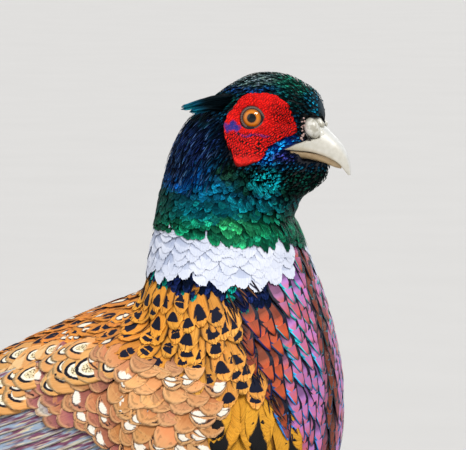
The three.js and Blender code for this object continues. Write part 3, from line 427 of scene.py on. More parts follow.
# Feathers
class Shape:
    """A feather's outline: rows from root to tip with their widths, and columns across.

    drop and power: how far the tip's corners fall back. comb: depth of the slits between the strands of the
    fringe. fray: uneven length of the strands. notch: depth of the notches along both edges.
    """

    def __init__(self, widths, rows, cols=7, drop=0.35, power=2.2, rise=0.05, fray=0.0, comb=0.0, notch=0.0):
        self.rows = np.array(rows, float)
        self.widths = np.interp(self.rows, np.linspace(0, 1, len(widths)), widths)
        self.cols = np.linspace(-1, 1, cols)
        self.drop, self.power, self.rise = drop, power, rise
        self.fray, self.comb, self.notch = fray, comb, notch
        r, c = len(self.rows), cols
        faces = []
        for i in range(r - 1):
            low, high = i * c, (i + 1) * c
            faces += [[low + j, high + j, high + j + 1, low + j + 1] for j in range(c - 1)]
            faces.append([low, low + c - 1, high + c - 1, high])
        faces += [list(range(c)), list(range(r * c - 1, r * c - c - 1, -1))]
        self.loops, self.size = np.concatenate(faces), r * c
        self.starts = np.cumsum([0] + [len(f) for f in faces[:-1]])
        self.upper = np.append(np.arange(len(faces) - 2) % c < c - 1, [False, False])

    def grid(self, n, draw):
        """Across (-1..1 of the full half width) and along (0..1), for n feathers."""
        r, c = len(self.rows), len(self.cols)
        inner = np.abs(self.cols) < 0.99
        u = self.cols[None, None, :] * self.widths[None, :, None] * np.ones((n, 1, 1))
        corner = self.drop * np.abs(self.cols) ** self.power
        v = self.rows[None, :, None] - corner[None, None, :] * self.rows[None, :, None] ** 2
        late = smooth(self.rows, 0.68, 1.0)[None, :, None]
        slit = (np.arange(c) % 2 == 0) * inner
        v = v - late * self.comb * slit[None, None, :] * (0.5 + draw.random((n, 1, c)))
        v = v - late * self.fray * draw.random((n, 1, c))
        if self.notch:
            every_other = (np.arange(r) % 2 == 0) * (self.rows > 0.2) * 1.0
            depth = self.notch * every_other[None, :, None] * draw.random((n, r, 1))
            u = u * (1 - depth * ~inner[None, None, :])
        return u, v


ROUND = Shape([0.5, 0.8, 0.95, 1.0, 1.0, 0.92], [0, 0.35, 0.65, 0.8, 0.91, 1], 9, 0.24, 2.3, 0.03, 0.06, 0.04)
FRINGED = Shape([0.5, 0.8, 0.95, 1.0, 1.0, 0.9], [0, 0.35, 0.6, 0.76, 0.88, 1],
                15, 0.28, 2.0, 0.04, 0.03, 0.02, 0.03)
SHIELD = Shape([0.5, 0.85, 1.0, 1.0, 0.92, 0.7], [0, 0.35, 0.6, 0.74, 0.87, 1],
               9, 0.3, 2.0, 0.05, 0.01, 0.0, 0.02)
SMALL = Shape([0.6, 0.95, 1.0, 0.9, 0.6], [0, 0.4, 0.75, 1], 5, 0.3, 1.8, 0.06, 0.12)
WHITE = Shape([0.6, 0.9, 1.0, 1.0, 0.95], [0, 0.4, 0.66, 0.8, 0.9, 1], 19, 0.28, 2.0, 0.03, 0.05, 0.03, 0.02)
HAIR = Shape([0.7, 1.0, 0.9, 0.6, 0.2], [0, 0.35, 0.7, 1], 3, 0.05, 1.5, 0.2)
DOWNY = Shape([0.6, 0.9, 1.0, 1.0, 0.95], [0, 0.4, 0.7, 0.85, 1], 13, 0.28, 2.0, 0.03, 0.05, 0.03, 0.02)
POINTED = Shape([0.55, 1.0, 0.95, 0.75, 0.5], [0, 0.25, 0.5, 0.7, 0.85, 0.95, 1], 7, 0.1, 1.6, 0.14, 0.02)
LONG_ROWS = [0, 0.12, 0.25, 0.4, 0.55, 0.68, 0.79, 0.88, 0.94, 0.98, 1]
VANE = Shape([0.6, 0.85, 0.98, 1.0, 0.98, 0.9, 0.62], LONG_ROWS, 11, 0.07, 2.2, 0.05, 0.012, 0.0, 0.05)
COVERT = Shape([0.55, 0.85, 1.0, 1.0, 1.0, 0.9], [0, 0.3, 0.5, 0.65, 0.78, 0.9, 1],
               13, 0.25, 2.0, 0.04, 0.02, 0.01, 0.02)
TAIL_SHAPE = Shape([0.6, 0.93, 1.0, 0.98, 0.9, 0.78, 0.62, 0.4, 0.12], np.linspace(0, 1, 44), 11, 0.012, 2.0,
                   0.035, 0.002, 0.0, 0.05)


def per_feather(n, *values):
    return [np.broadcast_to(np.asarray(k, float), (n,)) for k in values]


def deep(value):
    """One number per feather, ready to meet the grid of its points."""
    return value[:, None, None]


def lay(place, a, th, shape, length, half, lift, swing=0.0, tilt=0.0, step=None, bulge=None, draw=rng,
        swell=1.3, crinkle=0.0):
    """Points (feathers, rows, columns, 3) of feathers rooted at a, th on a surface."""
    n = len(a)
    length, half, swing, tilt, low, high = per_feather(n, length, half, swing, tilt, *lift)
    along = place(a + 0.5, th) - place(a - 0.5, th)
    round_ = (place(a, th + 0.01) - place(a, th - 0.01)) / 0.02
    outward = unit(np.cross(along, round_))
    back = -unit(along)
    left = unit(np.cross(outward, back))
    left = left * np.sign(np.sum(left * round_, -1, keepdims=True))
    side = np.where(th >= 0, 1.0, -1.0)
    aa, ar, rr = np.sum(along * along, -1), np.sum(along * round_, -1), np.sum(round_ * round_, -1)

    def in_surface(way):
        pa, pr = np.sum(way * along, -1), np.sum(way * round_, -1)
        det = aa * rr - ar * ar
        return (pa * rr - pr * ar) / det, (pr * aa - pa * ar) / det

    if step is None:
        run = (back * np.cos(swing)[:, None] + left * (side * np.sin(swing))[:, None]) * length[:, None]
        da, dt = in_surface(run)
    else:
        run = along * step[0][:, None] + round_ * step[1][:, None]
        da, dt = step
    wa, wt = in_surface(unit(np.cross(outward, run)) * half[:, None])
    u, v = shape.grid(n, draw)
    pa = deep(a) + v * deep(da) + u * deep(wa)
    pt = deep(th) + v * deep(dt) + u * deep(wt)
    pa = np.clip(pa, BODY_REAR + END_MARGIN, BODY_FRONT - END_MARGIN) if place is skin else pa
    rows, cols = shape.rows[None, :, None], shape.cols[None, None, :]
    height = deep(low) + deep(high - low) * np.minimum(1, rows * swell)
    height = height + shape.rise * deep(half) * (1 - cols ** 2) * (0.4 + 0.6 * np.minimum(1, rows * 2))
    height = height + deep(tilt) * cols
    if crinkle:
        height = height + crinkle * rows * (draw.random((n, 1, len(shape.cols))) - 0.5)
    if bulge is not None:
        height = height + bulge(pa, pt)
    return lifted(place, pa, pt, height)


def lay_line(root, tip, outward, half, shape, bow, draw=rng, sweep=0.0):
    """Feathers along lines from root to tip, bowed outward, their vanes across the line."""
    half, bow, sweep = per_feather(len(root), half, bow, sweep)
    run = tip - root
    across = unit(np.cross(outward, run))
    u, v = shape.grid(len(root), draw)
    height = deep(bow) * np.sin(np.pi * v) + shape.rise * deep(half) * (1 - shape.cols[None, None, :] ** 2)
    side = u * deep(half) + deep(sweep) * v ** 2
    parts = ((run, v), (unit(np.cross(run, across)), height), (across, side))
    return deep(root) + sum(deep(way) * share[..., None] for way, share in parts)


def join(name, blocks, material, replaces=()):
    """One object from blocks of feathers: shape, points, bake centres, numbers, colours, side."""
    loops, starts, feather, bake, soft = [], [], [], [], []
    numbers, colours = {}, {}
    base = first = 0
    for shape, made, centres, marks, tints, side in blocks:
        each = np.arange(len(made))[:, None]
        loops.append((shape.loops[None, :] + base + shape.size * each).ravel())
        starts.append((shape.starts[None, :] + first + len(shape.loops) * each).ravel())
        soft.append(np.tile(shape.upper, len(made)))
        base += shape.size * len(made)
        first += len(shape.loops) * len(made)
        rows, cols = np.meshgrid(shape.rows, shape.cols, indexing="ij")
        u = deep(side) * cols[None] * 0.5 + 0.5
        uv = np.stack([u, np.broadcast_to(rows[None], u.shape)], -1)
        feather.append(uv.reshape(-1, 2))
        bake.append((centres[:, None, None, :] + (uv - 0.5) * 0.003).reshape(-1, 2))
        for here, given in ((numbers, marks), (colours, tints)):
            for key, value in given.items():
                here.setdefault(key, []).append(np.repeat(value, shape.size, axis=0))
    stack = np.concatenate
    faces = stack([b[1].reshape(-1, 3) for b in blocks]), stack(loops), stack(starts)
    numbers, colours = ({k: stack(v) for k, v in d.items()} for d in (numbers, colours))
    uvs = {"OFBake": stack(bake), "Feather": stack(feather)}
    return make_mesh(name, faces, material, replaces, numbers, colours, uvs, stack(soft))


def block(shape, points, a, th, seed, tints, **numbers):
    n = len(a)
    marks = {"dice": np.random.default_rng(seed).random(n)}
    marks.update({k: np.broadcast_to(np.asarray(v, float), (n,)) for k, v in numbers.items()})
    return shape, points, bake_place(a, th), marks, tints, np.where(th >= 0, 1.0, -1.0)


ROOTS_TRIED, GRID_A, GRID_TH = 26, 90, 91


def scatter(place, a_range, spacing, accept, seed, th_range=(-np.pi, np.pi), stretch=1.0):
    """Roots spacing apart across and spacing x stretch along, where accept holds, and their number."""
    draw = np.random.default_rng(seed)
    a_grid, t_grid = np.linspace(*a_range, GRID_A), np.linspace(*th_range, GRID_TH)
    A, T = np.meshgrid(a_grid, t_grid, indexing="ij")
    P = place(A, T)
    da = np.linalg.norm(P[1:, :-1] - P[:-1, :-1], axis=-1)
    dt = np.linalg.norm(P[:-1, 1:] - P[:-1, :-1], axis=-1)
    area = (da * dt).ravel() * accept(A[:-1, :-1], T[:-1, :-1]).ravel()
    total = area.sum()
    count = int(ROOTS_TRIED * total / spacing ** 2 / stretch)
    ia, it = np.divmod(draw.choice(len(area), size=count, p=area / total), GRID_TH - 1)
    a = a_grid[ia] + draw.random(count) * (a_grid[1] - a_grid[0])
    th = t_grid[it] + draw.random(count) * (t_grid[1] - t_grid[0])
    keep = accept(a, th)
    a, th = a[keep], th[keep]
    p = place(a, th)
    way = unit(place(a + 0.5, th) - place(a - 0.5, th)) * np.sqrt(1 - 1 / stretch ** 2)

    def far(k, others):
        """Whether each of the roots k is far from all the others."""
        d = p[k][:, None, :] - others[None]
        return ((d ** 2).sum(-1) - (d * way[k][:, None, :]).sum(-1) ** 2).min(1) > spacing ** 2
    kept = np.zeros((0, 3))
    chosen = []
    for start in range(0, len(a), 400):
        left = np.arange(start, min(start + 400, len(a)))
        good = np.ones(len(left), bool)
        for piece in range(0, len(kept), 3000):
            good &= far(left, kept[piece:piece + 3000])
        new = []
        for k in left[good]:
            if not new or far([k], p[new])[0]:
                new.append(k)
        kept = np.concatenate([kept, p[new].reshape(-1, 3)])
        chosen += new
    return a[chosen], th[chosen], len(chosen)


def mixed(share, first, second):
    """Colours between two, each a web colour or an array, by a share per feather."""
    w = np.clip(share, 0, 1)[..., None]
    first, second = (paint(c) if isinstance(c, str) else c for c in (first, second))
    return first * (1 - w) + second * w


def vary(colours, amount, seed):
    draw = np.random.default_rng(seed)
    light, hue = ((draw.random((len(colours), k)) - 0.5) * 2 for k in (1, 3))
    return colours * (1 + amount * light) * (1 + 0.35 * amount * hue)


def plain(n, code):
    return np.ones((n, 3)) * paint(code)


def around_zero(n, size, draw=rng):
    return (draw.random(n) - 0.5) * size


def wobble(at, th, size):
    """An uneven sway for the border of a region."""
    return size * np.sin(np.asarray(th) * 17.0 + 1.3) * np.cos(np.asarray(at) * 0.31 + np.asarray(th) * 5)


# Regions of the coat
BELLY, RUMP, BACK, FLANK, MANTLE, BREAST, UNDER_RING, COLLAR, GREEN = range(9)


def angle_of(th):
    """Degrees down from the back, on either side."""
    return np.abs((np.asarray(th) + np.pi) % (2 * np.pi) - np.pi) / DEG


def curve(places, values):
    """A function that runs straight between values given at places."""
    return lambda x: np.interp(x, places, values)


collar_top = curve([0, 22, 60, 71, 105, 136, 165, 174, 180],
                   [131, 133.9, 139.5, 141.4, 141.9, 141.2, 140.7, 139, 134])
collar_low = curve([0, 31, 66, 90, 118, 136, 157, 164, 170, 180],
                   [99, 106, 117.2, 122.3, 125.4, 127, 131, 135, 141.5, 146])
# the line where the mantle gives way to the scapulars, the wing and the flank
mantle_low = curve([0, 26, 33, 36.5, 43, 54.5, 70, 88, 102.5, 116.5, 125],
                   [30, 20, 16, 36, 53, 70, 82, 90, 94, 96.5, 98])
# the angle where the mantle and flank give way to the breast
breast_side = curve([60, 80, 91, 94, 96.5, 100, 104, 108, 113, 118, 122, 126, 131],
                    [177, 169, 157, 148, 137, 128, 120, 114, 113, 115, 121, 133, 148])


def region(at, th, sway=0.0):
    """Number of the region at a place, moved along by sway."""
    t = angle_of(th)
    at = at + sway
    out = np.full(np.broadcast(at, t).shape, BELLY)
    for here, kind in (
        ((at < -38) & (t < 62), RUMP),
        ((at >= -38) & (t < 45), BACK),
        ((t > 88) & (at > 20) & (t < 172), FLANK),
        (at > mantle_low(t), MANTLE),
        ((at > 66) & (t > breast_side(at)), BREAST),
        ((at > collar_low(t) - 8) & (t < 140), UNDER_RING),
        (at > collar_low(t), COLLAR),
        (at > collar_top(t), GREEN),
    ):
        out = np.where(here, kind, out)
    return out


class Reach:
    """Lengths along the skin from the tail end forward, to step back by so many millimetres."""

    def __init__(self):
        self.a = np.linspace(BODY_REAR + END_MARGIN, BODY_FRONT - END_MARGIN, 500)
        self.turns = np.linspace(0, np.pi, 61)
        points = skin(*np.meshgrid(self.a, self.turns, indexing="ij"))
        steps = np.linalg.norm(np.diff(points, axis=0), axis=-1)
        self.length = np.concatenate([np.zeros((1, len(self.turns))), np.cumsum(steps, axis=0)])

    def back(self, a, th, distance):
        a, th, distance = np.broadcast_arrays(a, th, distance)
        column = np.rint(angle_of(th) * DEG / np.pi * (len(self.turns) - 1)).astype(int)
        out = np.empty(a.shape)
        for k in np.unique(column):
            here = column == k
            place = np.interp(a[here], self.a, self.length[:, k])
            out[here] = np.interp(place - distance[here], self.length[:, k], self.a)
        return out


REACH = Reach()


def seen(a, th, length, share=0.85):
    """Where along the skin the visible end of a feather rooted at a, th lies."""
    return REACH.back(a, th, share * np.asarray(length, float))


def wing_bulge(at, th):
    """The wing's swell over the body."""
    t = angle_of(th)
    across = smooth(t, 34, 52) * (1 - smooth(t, 96, 110))
    return 5.4 * across * ((1 - smooth(at, 66, 90)) * lerp(0.3, 1.0, smooth(at, -150, -20)))


def dark_seam(a, th):
    """Near the line where the breast meets the mantle, the wing and the flank."""
    near = 1 - smooth(np.abs(angle_of(th) - breast_side(a)), 2.0, 6.0)
    return near * smooth(a, 74, 84) * (1 - smooth(a, 118, 128))


# What lies where on the face, seen from the side, in millimetres from the eye
WATTLE_REACH = np.array(
    [17.6, 17, 14.8, 12.8, 11.2, 11, 11.1, 10.1, 10.3, 12.2, 13.8, 15.2, 17, 22.3, 20.9, 15.2, 15.8, 20.2])


def wattle_reach(turn):
    place = ((turn / (2 * np.pi)) % 1.0) * len(WATTLE_REACH)
    i = np.floor(place).astype(int) % len(WATTLE_REACH)
    t = place - np.floor(place)
    a, b = WATTLE_REACH[i], WATTLE_REACH[(i + 1) % len(WATTLE_REACH)]
    return a + (b - a) * t * t * (3 - 2 * t)


def face(at, th):
    p = straight_skin(at, th)
    return p[..., 0] - EYE_X, p[..., 2] - EYE_Z, np.abs(p[..., 1])


def on_bill(at, th):
    """Places where the bill stands instead of feathers."""
    x, z, _ = face(at, th)
    x = x + EYE_X - NECK_X
    front = (x > 41.2) & (z < 0.9) & (z > -21.6)
    gape = (x > 38.3) & (z < -13.5) & (z > -21.2)
    line = np.interp(x, [31.5, 36.5, 41, 46.8], [-14.6, -12.5, -11.0, -10])
    return front | gape | ((x > 32) & (z < line + 0.2) & (z > -15.9 - 0.08 * (x - 32)))


def in_wattle(at, th, grow):
    x, z, y = face(at, th)
    inside = np.hypot(x, z) < wattle_reach(np.arctan2(z, x)) + grow
    return inside & (np.asarray(at) > 168) & (y > 6)


def blob(x, z, cx, cz, rx, rz, soft=0.5):
    return 1 - smooth(np.hypot((x - cx) / rx, (z - cz) / rz), 1 - soft, 1 + soft)


def face_colours(at, th):
    """Two colours of a head or neck feather: its glossy tip and its deeper base.

    s is measured forward from the eye as seen from a little in front, z upward.
    """
    x, z, y = face(at, th)
    s = 0.951 * x + 0.309 * (17 - y)
    front_throat = smooth(s, 8, 15)
    tip, base = (np.ones(x.shape + (3,)) * paint(code) for code in ("#0a4868", "#030b16"))
    for share, tip_code, base_code in (
        (1 - smooth(z, -42, -34), "#0a7c86", "#02222a"),
        (1 - smooth(z, -50, -43), "#189266", "#032a1c"),
        (1 - smooth(z, -62, -54), "#118a64", "#03281c"),
        # painted highlight: a lighter green patch on the lower neck
        (0.8 * blob(s, z, -9, -50, 9, 4.5), "#2f9a60", "#06301c"),
        (0.8 * blob(s, z, -43, -44, 8, 12), "#0a5c44", "#021a12"),
        (blob(s, z, -30, -27, 13, 7, 0.4), "#0f62b0", "#04163a"),
        (0.9 * blob(s, z, -17, -33, 11, 5), "#0c7aa0", "#03222e"),
        (blob(s, z, -37, -14, 10, 13, 0.4), "#122650", "#030714"),
        (blob(s, z, -30, 0, 10, 7, 0.4), "#102444", "#020610"),
        (blob(s, z, -23, -9, 9, 9, 0.4), "#2c468a", "#04081a"),
        (0.9 * blob(s, z, -12, -25, 6, 5), "#163a1c", "#030a04"),
        (blob(s, z, -1, -30, 8, 7), "#083428", "#010705"),
        (front_throat * (1 - smooth(z, -28, -23)) * smooth(z, -46, -38), "#0a3c30", "#010604"),
        (0.7 * front_throat * (1 - smooth(z, -46, -40)), "#0d5c48", "#02140f"),
        (smooth(z, 0, 7), "#0e4c4c", "#031414"),
        (0.8 * blob(s, z, -4, 15, 17, 3.4), "#133a8a", "#040a20"),
        (smooth(s, 17, 24) * smooth(z, -12, -6), "#0a2e34", "#020a0c"),
        (smooth(z, 13, 17) * smooth(s, -22, -10), "#2c6a58", "#0a241e"),
        # painted sheen: a whitish grey-blue band across the crown
        (0.75 * blob(s, z, -2, 18.5, 13, 3.2), "#a0b4b8", "#1c2e32"),
        # painted reflection: a bright cyan patch at the front top of the forehead
        (blob(s, z, 31, 11, 5, 8), "#16a4cc", "#05303e"),
        (0.8 * blob(s, z, 24, 17, 10, 5), "#1f8a72", "#073026"),
        (blob(s, z, -12, 22.5, 15, 3.4, 0.4) * (angle_of(th) < 34), "#c8a878", "#4c3a20"),
        (blob(s - 0.55 * (z + 15), z, 10.5, -15, 9.5, 6.5, 0.35), "#1a9cf0", "#04246c"),
        (blob(s, z, 18, -18.6, 9, 2.8, 0.4), "#343c86", "#070a20"),
        (blob(s, z, 7, -30, 8, 5.5, 0.35), "#0d9aa4", "#010a0c"),
    ):
        tip, base = mixed(share, tip, tip_code), mixed(share, base, base_code)
    return tip, base


# Feather materials
def gloss_material():
    d, u, v, dice, fine, streak = vane("feather_gloss", 14, roughness=0.42, Metallic=0.35,
                                       Specular_IOR_Level=0.12, Specular_Tint=(0.12, 0.24, 0.34, 1))
    strand = strands(d, u, v, dice, 3.2, 0.7)
    edge = d.step(v, 0.55, 1.0)
    glow = edge * (strand * 1.7 - 0.2) * (streak * 0.8 + 0.5) * (dice * 1.3 + 0.35)
    colour = d.mix(glow.clamp(), d.colour("base"), d.colour("tip"))
    # painted highlight: strands near the tip brightened to over twice the tip colour
    painted_shine = d.step(strand * (dice * 0.6 + 0.7) * edge, 0.44, 0.66)
    colour = d.mix(painted_shine * 0.6, colour, d.shade(d.colour("tip"), 2.2))
    return d.finish(colour, strand * 0.7 + fine * 0.3, 0.6, 0.0002)


def collar_material():
    d = Draw("feather_white", 0.9, Specular_IOR_Level=0.2)
    u, v = d.across_along()
    strand = strands(d, u, v, d.number("dice"), 7, 0.6, detail=3)
    cloud = d.noise(d.space(), 70, 2)
    # painted shade: blue-grey #98a4c0 at the root, where the next feathers overlap, and in soft cloud
    # patches; the strands give the feather's own streaks
    light = (strand * 0.9 + d.step(v, 0.45, 0.95) * 0.35 + cloud * 0.8 - 0.55).clamp()
    return d.finish(d.mix(light, "#98a4c0", "#e6e8ef"), strand, 0.35, 0.0002)


def mantle_material():
    """Golden feathers with a dark middle: a blunt dome in front, a long drop with a white core behind."""
    d, u, v, dice, fine, streak = vane("feather_mantle", 18, roughness=0.7, Specular_IOR_Level=0.2)
    kind = d.number("kind")
    strand = strands(d, u, v, dice)
    au = abs(u + (dice - 0.5) * 0.35)
    ground = d.mix((strand * 1.6 - 0.3).clamp(), d.colour("base"), d.colour("tip"))
    ground = d.mix(d.step(v, 0.8, 1.0) * strand, ground, d.shade(d.colour("tip"), 1.35))
    # painted shade between the feathers: the sides below the tip darkened almost to black
    ground = d.mix(d.step(abs(u), 0.72, 0.95) * (1 - d.step(v, 0.76, 0.92)) * 0.85, ground, "#1c1418")
    low = 0.83 + (dice - 0.5) * 0.1 + au * au * 0.22 + (strand - 0.5) * 0.03
    tall = 0.25 + d.number("tall") * 0.16
    front = ((v - low + tall).max(0.0) / tall) ** 0.42 * 0.62 * (1 - d.step(v - low, -0.015, 0.025))
    rear = d.step(v, 0.42, 0.62) * 0.46 * (1 - d.step(v, 0.72, 0.95))
    wide = front + (rear - front) * kind + (strand - 0.5) * 0.25 * d.step(v, 0.5, 0.64)
    dark = 1 - d.step(au, wide - 0.05, wide + 0.06)
    colour = d.mix(dark, ground, d.mix(streak, "#020309", "#0e1532"))
    core = (1 - d.step(au, wide * 0.5 - 0.06, wide * 0.5 + 0.06)) * d.step(v, 0.56, 0.62)
    core = core * (1 - d.step(v, 0.82, 0.9)) * d.number("white")
    colour = d.mix(core, colour, d.mix(strand, "#cdb68a", "#fffaf0"))
    colour = d.tone(fine * 0.1, colour, 0.6)
    return d.finish(colour, strand * 0.7 + fine * 0.3, 0.5, 0.00025)


def breast_material():
    """Lilac and copper drops that end in a point, black beside them, with a painted glint of gloss along one
    edge and across the tip.
    """
    d, u, v, dice, fine, streak = vane("feather_breast", 18, roughness=0.45, Metallic=0.15,
                                       Specular_IOR_Level=0.3)
    strand = strands(d, u, v, dice, 4)
    off = (dice - 0.5) * 0.22
    toward = ((v - 0.5) * 2).max(0.0).min(1.0)
    wide = 0.04 + (1 - toward ** 2.2) ** 0.75 * 0.66 + (strand - 0.5) * 0.14
    inside = 1 - d.step(abs(u + off), wide - 0.05, wide + 0.06)
    heart = (d.step(v, 0.6, 0.95) * 0.9 + strand * 0.5 - 0.25).clamp()
    heart = d.mix(heart, d.colour("base"), d.colour("tip"))
    heart = d.tone(fine * 0.2, heart, 0.55)
    heart = d.tone(d.step(strand, 0.56, 0.72) * 0.4, heart, 1.45)
    heart = d.tone((1 - d.step(v, 0.5, 0.7)) * 0.7, heart, 0.3)
    beside = (u + off - wide).max(0.0)
    # painted glint: the gloss colour in a band beside the drop on one side and across the tip, stronger on
    # some feathers
    painted_glint = (1 - d.step(beside, 0.2, 0.42)) * d.step(u + off, 0.0, 0.15) * d.step(v, 0.5, 0.7)
    painted_glint = (painted_glint * d.number("flash") + d.step(v, 0.9, 0.98) * d.number("rim")).clamp()
    navy = d.mix(streak, "#020208", "#0e1230")
    navy = d.mix((painted_glint * (strand * 1.6 + 0.3)).clamp(), navy, d.colour("gloss"))
    return d.finish(d.mix(inside, navy, heart), strand * 0.6 + fine * 0.4, 0.5, 0.00025)


def flank_material():
    """Long golden feathers with visible barbs and a black wedge that turns violet near the tip."""
    d, u, v, dice, fine, streak = vane("feather_flank", 30, 0.4, roughness=0.65, Specular_IOR_Level=0.25)
    coarse = d.noise(d.vector(u * 0.8 + dice * 31, (v - abs(u) * 0.3) * 30 + dice * 17, 0.0), 1.6, 2)
    strand = strands(d, u, v, dice, 5, 1.6)
    ground = d.mix(streak, d.colour("base"), d.colour("tip"))
    ground = d.tone(d.step(coarse, 0.52, 0.66) * 0.6, ground, 0.4)
    ground = d.tone(d.step(strand, 0.55, 0.75) * 0.4, ground, 1.35)
    wide = d.step(v, 0.5, 0.9) * 0.5 + 0.06 + (coarse - 0.5) * 0.14 + (strand - 0.5) * 0.14
    dark = (1 - d.step(abs(u + (dice - 0.5) * 0.5), wide - 0.06, wide + 0.05)) * d.step(v, 0.42, 0.54)
    dark = dark * (1 - d.step(v + strand * 0.05, 0.98, 1.03))
    gloss = d.step(v, 0.8, 0.87) * (streak * 1.5).clamp() * d.number("violet")
    colour = d.mix(dark, ground, d.mix(gloss, "#050406", "#2a2260"))
    return d.finish(colour, fine * 0.4 + coarse * 0.6, 0.6, 0.0003)


def soft_material():
    """Feathers of one soft colour, deeper at the root, with fine barbs and pale or dark tips."""
    d, _, v, _, fine, streak = vane("feather_soft", 20, roughness=0.7, Specular_IOR_Level=0.25)
    share = (d.step(v, 0.3, 0.95) * 0.7 + streak * 0.6 - 0.1).clamp()
    colour = d.mix(share, d.colour("base"), d.colour("tip"))
    return d.finish(d.tone(fine * 0.35, colour, 0.65), fine, 0.5, 0.0002)


def stripes_material(name, bar_low, bar_high, bars, edge, core, sharp=0.35):
    """Long feathers with cross bars that break at the shaft, pale or red edges and a dark shaft."""
    d, u, v, dice, fine, streak = vane(name, 60, roughness=0.6, Specular_IOR_Level=0.25)
    au = abs(u)
    wavy = d.noise(d.vector(u * 1.5 + dice * 9, v * 6, dice * 20), 2.2, 3)
    bar = d.step(((v * bars + au * 0.35 + wavy * 0.55 + dice) * FULL_TURN).wave(), sharp, sharp + 0.3)
    ground = d.mix(streak, d.colour("base"), d.colour("tip"))
    colour = d.mix(bar * 0.9, ground, d.mix(streak, bar_low, bar_high))
    colour = d.mix(d.step(au, 0.62, 0.9) * (0.5 + 0.5 * streak), colour, edge)
    colour = d.mix((1 - d.step(au, 0.02, 0.09)), colour, core)
    return d.finish(d.tone(fine * 0.25, colour, 0.6), fine, 0.5, 0.0003)


def scapular_material():
    """Tawny feathers with a pale speckled arrowhead inside a dark line."""
    d, u, v, dice, fine, streak = vane("feather_scapular", 36, roughness=0.7, Specular_IOR_Level=0.2)
    strand = strands(d, u, v, dice)
    au = abs(u + (dice - 0.5) * 0.3)
    margin = d.mix((strand * 1.6 - 0.3).clamp(), d.colour("base"), d.colour("tip"))
    margin = d.mix(d.step(v + strand * 0.1, 0.92, 1.04) * 0.6, margin, "#f0cf98")
    # ring grows outward from the middle of the pale patch, which fades toward the root
    late = (v - 0.58 - (dice - 0.5) * 0.08).max(0.0)
    ring = ((au / 0.52) ** 2 + (late / 0.26) ** 2) ** 0.5 + (strand - 0.5) * 0.22
    speck = d.noise(d.vector(u * 5 + dice * 40, v * 14, 0.0), 2.0, 3)
    centre = d.mix(d.step(speck, 0.46, 0.6), "#e8d9ae", "#6a5134")
    pale = d.mix(d.step(ring, 0.5, 0.66), centre, d.mix(streak, "#dccfae", "#fbf6ea"))
    colour = d.mix((1 - d.step(ring, 0.8, 0.9)) * d.step(v, 0.46, 0.58), margin, pale)
    line = d.step(ring, 0.78, 0.86) * (1 - d.step(ring, 1.06 + (dice - 0.5) * 0.16, 1.16))
    colour = d.mix(line * d.step(v, 0.54, 0.66), colour, d.mix(streak, "#050508", "#161a2c"))
    colour = d.tone(fine * 0.12, colour, 0.62)
    return d.finish(colour, fine * 0.5 + strand * 0.5, 0.5, 0.00025)


def covert_material():
    """Rosy brown feathers with tawny edges, fine dark lines and, on some, a pale blotch."""
    d, u, v, dice, fine, _ = vane("feather_covert", 30, roughness=0.7, Specular_IOR_Level=0.2)
    strand = strands(d, u, v, dice)
    cloud = d.noise(d.vector(u * 1.3 + dice * 17, v * 2.6, dice * 5), 2.0, 2)
    au, has = abs(u), d.number("white")
    out = v + au * au * 0.12 + (cloud - 0.5) * 0.1
    ground = (d.step(v, 0.5, 0.9) * 0.5 + strand * 0.7 + cloud * 0.3 - 0.4).clamp()
    ground = d.mix(ground, d.colour("base"), d.colour("tip"))
    colour = d.mix(d.step(out, 0.82, 1.0) * 0.7, ground, d.mix(strand, "#c0824a", "#eec594"))
    thick = (cloud - 0.45).max(0.0) * 0.35
    line = d.step(out, 0.8 - thick, 0.84 - thick) * (1 - d.step(out, 0.84, 0.88))
    colour = d.mix(line * d.step(cloud, 0.44, 0.52) * (has * 0.6 + 0.35), colour, "#2a1418")
    lean = u - (dice - 0.5) * 0.9
    spot = ((lean / 0.62) ** 2 + ((v - 0.73) / 0.14) ** 2) ** 0.5 + (strand - 0.5) * 0.8 + (cloud - 0.5) * 0.5
    colour = d.mix((1 - d.step(spot, 1.0, 1.3)) * has * d.step(v, 0.7, 0.78) * 0.9, colour, "#20161e")
    colour = d.mix((1 - d.step(spot, 0.7, 1.0)) * has, colour, d.mix(strand, "#dccfb4", "#fffaf2"))
    colour = d.tone(fine * 0.12, colour, 0.62)
    return d.finish(colour, fine * 0.5 + strand * 0.5, 0.5, 0.00025)


def greater_material():
    """Long feathers streaked along their length in maroon, blue-grey and cream."""
    d, u, v, dice, fine, _ = vane("feather_greater", 50, roughness=0.65, Specular_IOR_Level=0.2)
    lane = strands(d, u, v, dice, 1.0, 3.2, 2.2)
    thin = d.noise(d.vector(u * 2.2 + dice * 31, v * 3.5, dice * 5), 2.4, 2)
    colour = d.mix(d.step(lane, 0.42, 0.6), "#86506a", "#9fb2c8")
    colour = d.mix(d.step(thin, 0.52, 0.66), colour, "#dccfae")
    colour = d.mix(d.step(abs(u) + thin * 0.5, 0.95, 1.2) * 0.8, colour, "#e6dcc2")
    colour = d.mix((1 - d.step(thin, 0.34, 0.46)) * 0.6, colour, "#4c3040")
    return d.finish(d.tone(fine * 0.25, colour, 0.6), fine, 0.5, 0.0003)


M_GLOSS, M_WHITE, M_MANTLE = gloss_material(), collar_material(), mantle_material()
M_BREAST, M_FLANK, M_SOFT = breast_material(), flank_material(), soft_material()
M_SCAPULAR, M_COVERT, M_GREATER = scapular_material(), covert_material(), greater_material()
M_FLIGHT = stripes_material("feather_flight", "#2c2018", "#5a4432", 11, "#c8b48c", "#2a1e16")
M_TAIL = stripes_material("feather_tail", "#120c0a", "#2a1c14", 21, "#8a4a34", "#3c2c1c", 0.62)


# The coat of the body
def collar():
    def here(a, th):
        return region(seen(a, th, 15.0), th, wobble(a, th, 0.4)) == COLLAR
    a, th, n = scatter(skin, (95, 185), 3.8, here, 1)
    made = lay(skin, a, th, WHITE, 13 + 2 * rng.random(n), 4.6, (-1.3, 0.05), around_zero(n, 0.7), 0.06,
               crinkle=0.03, swell=1.0)
    join("coat_collar", [block(WHITE, made, a, th, 2, {})], M_WHITE)


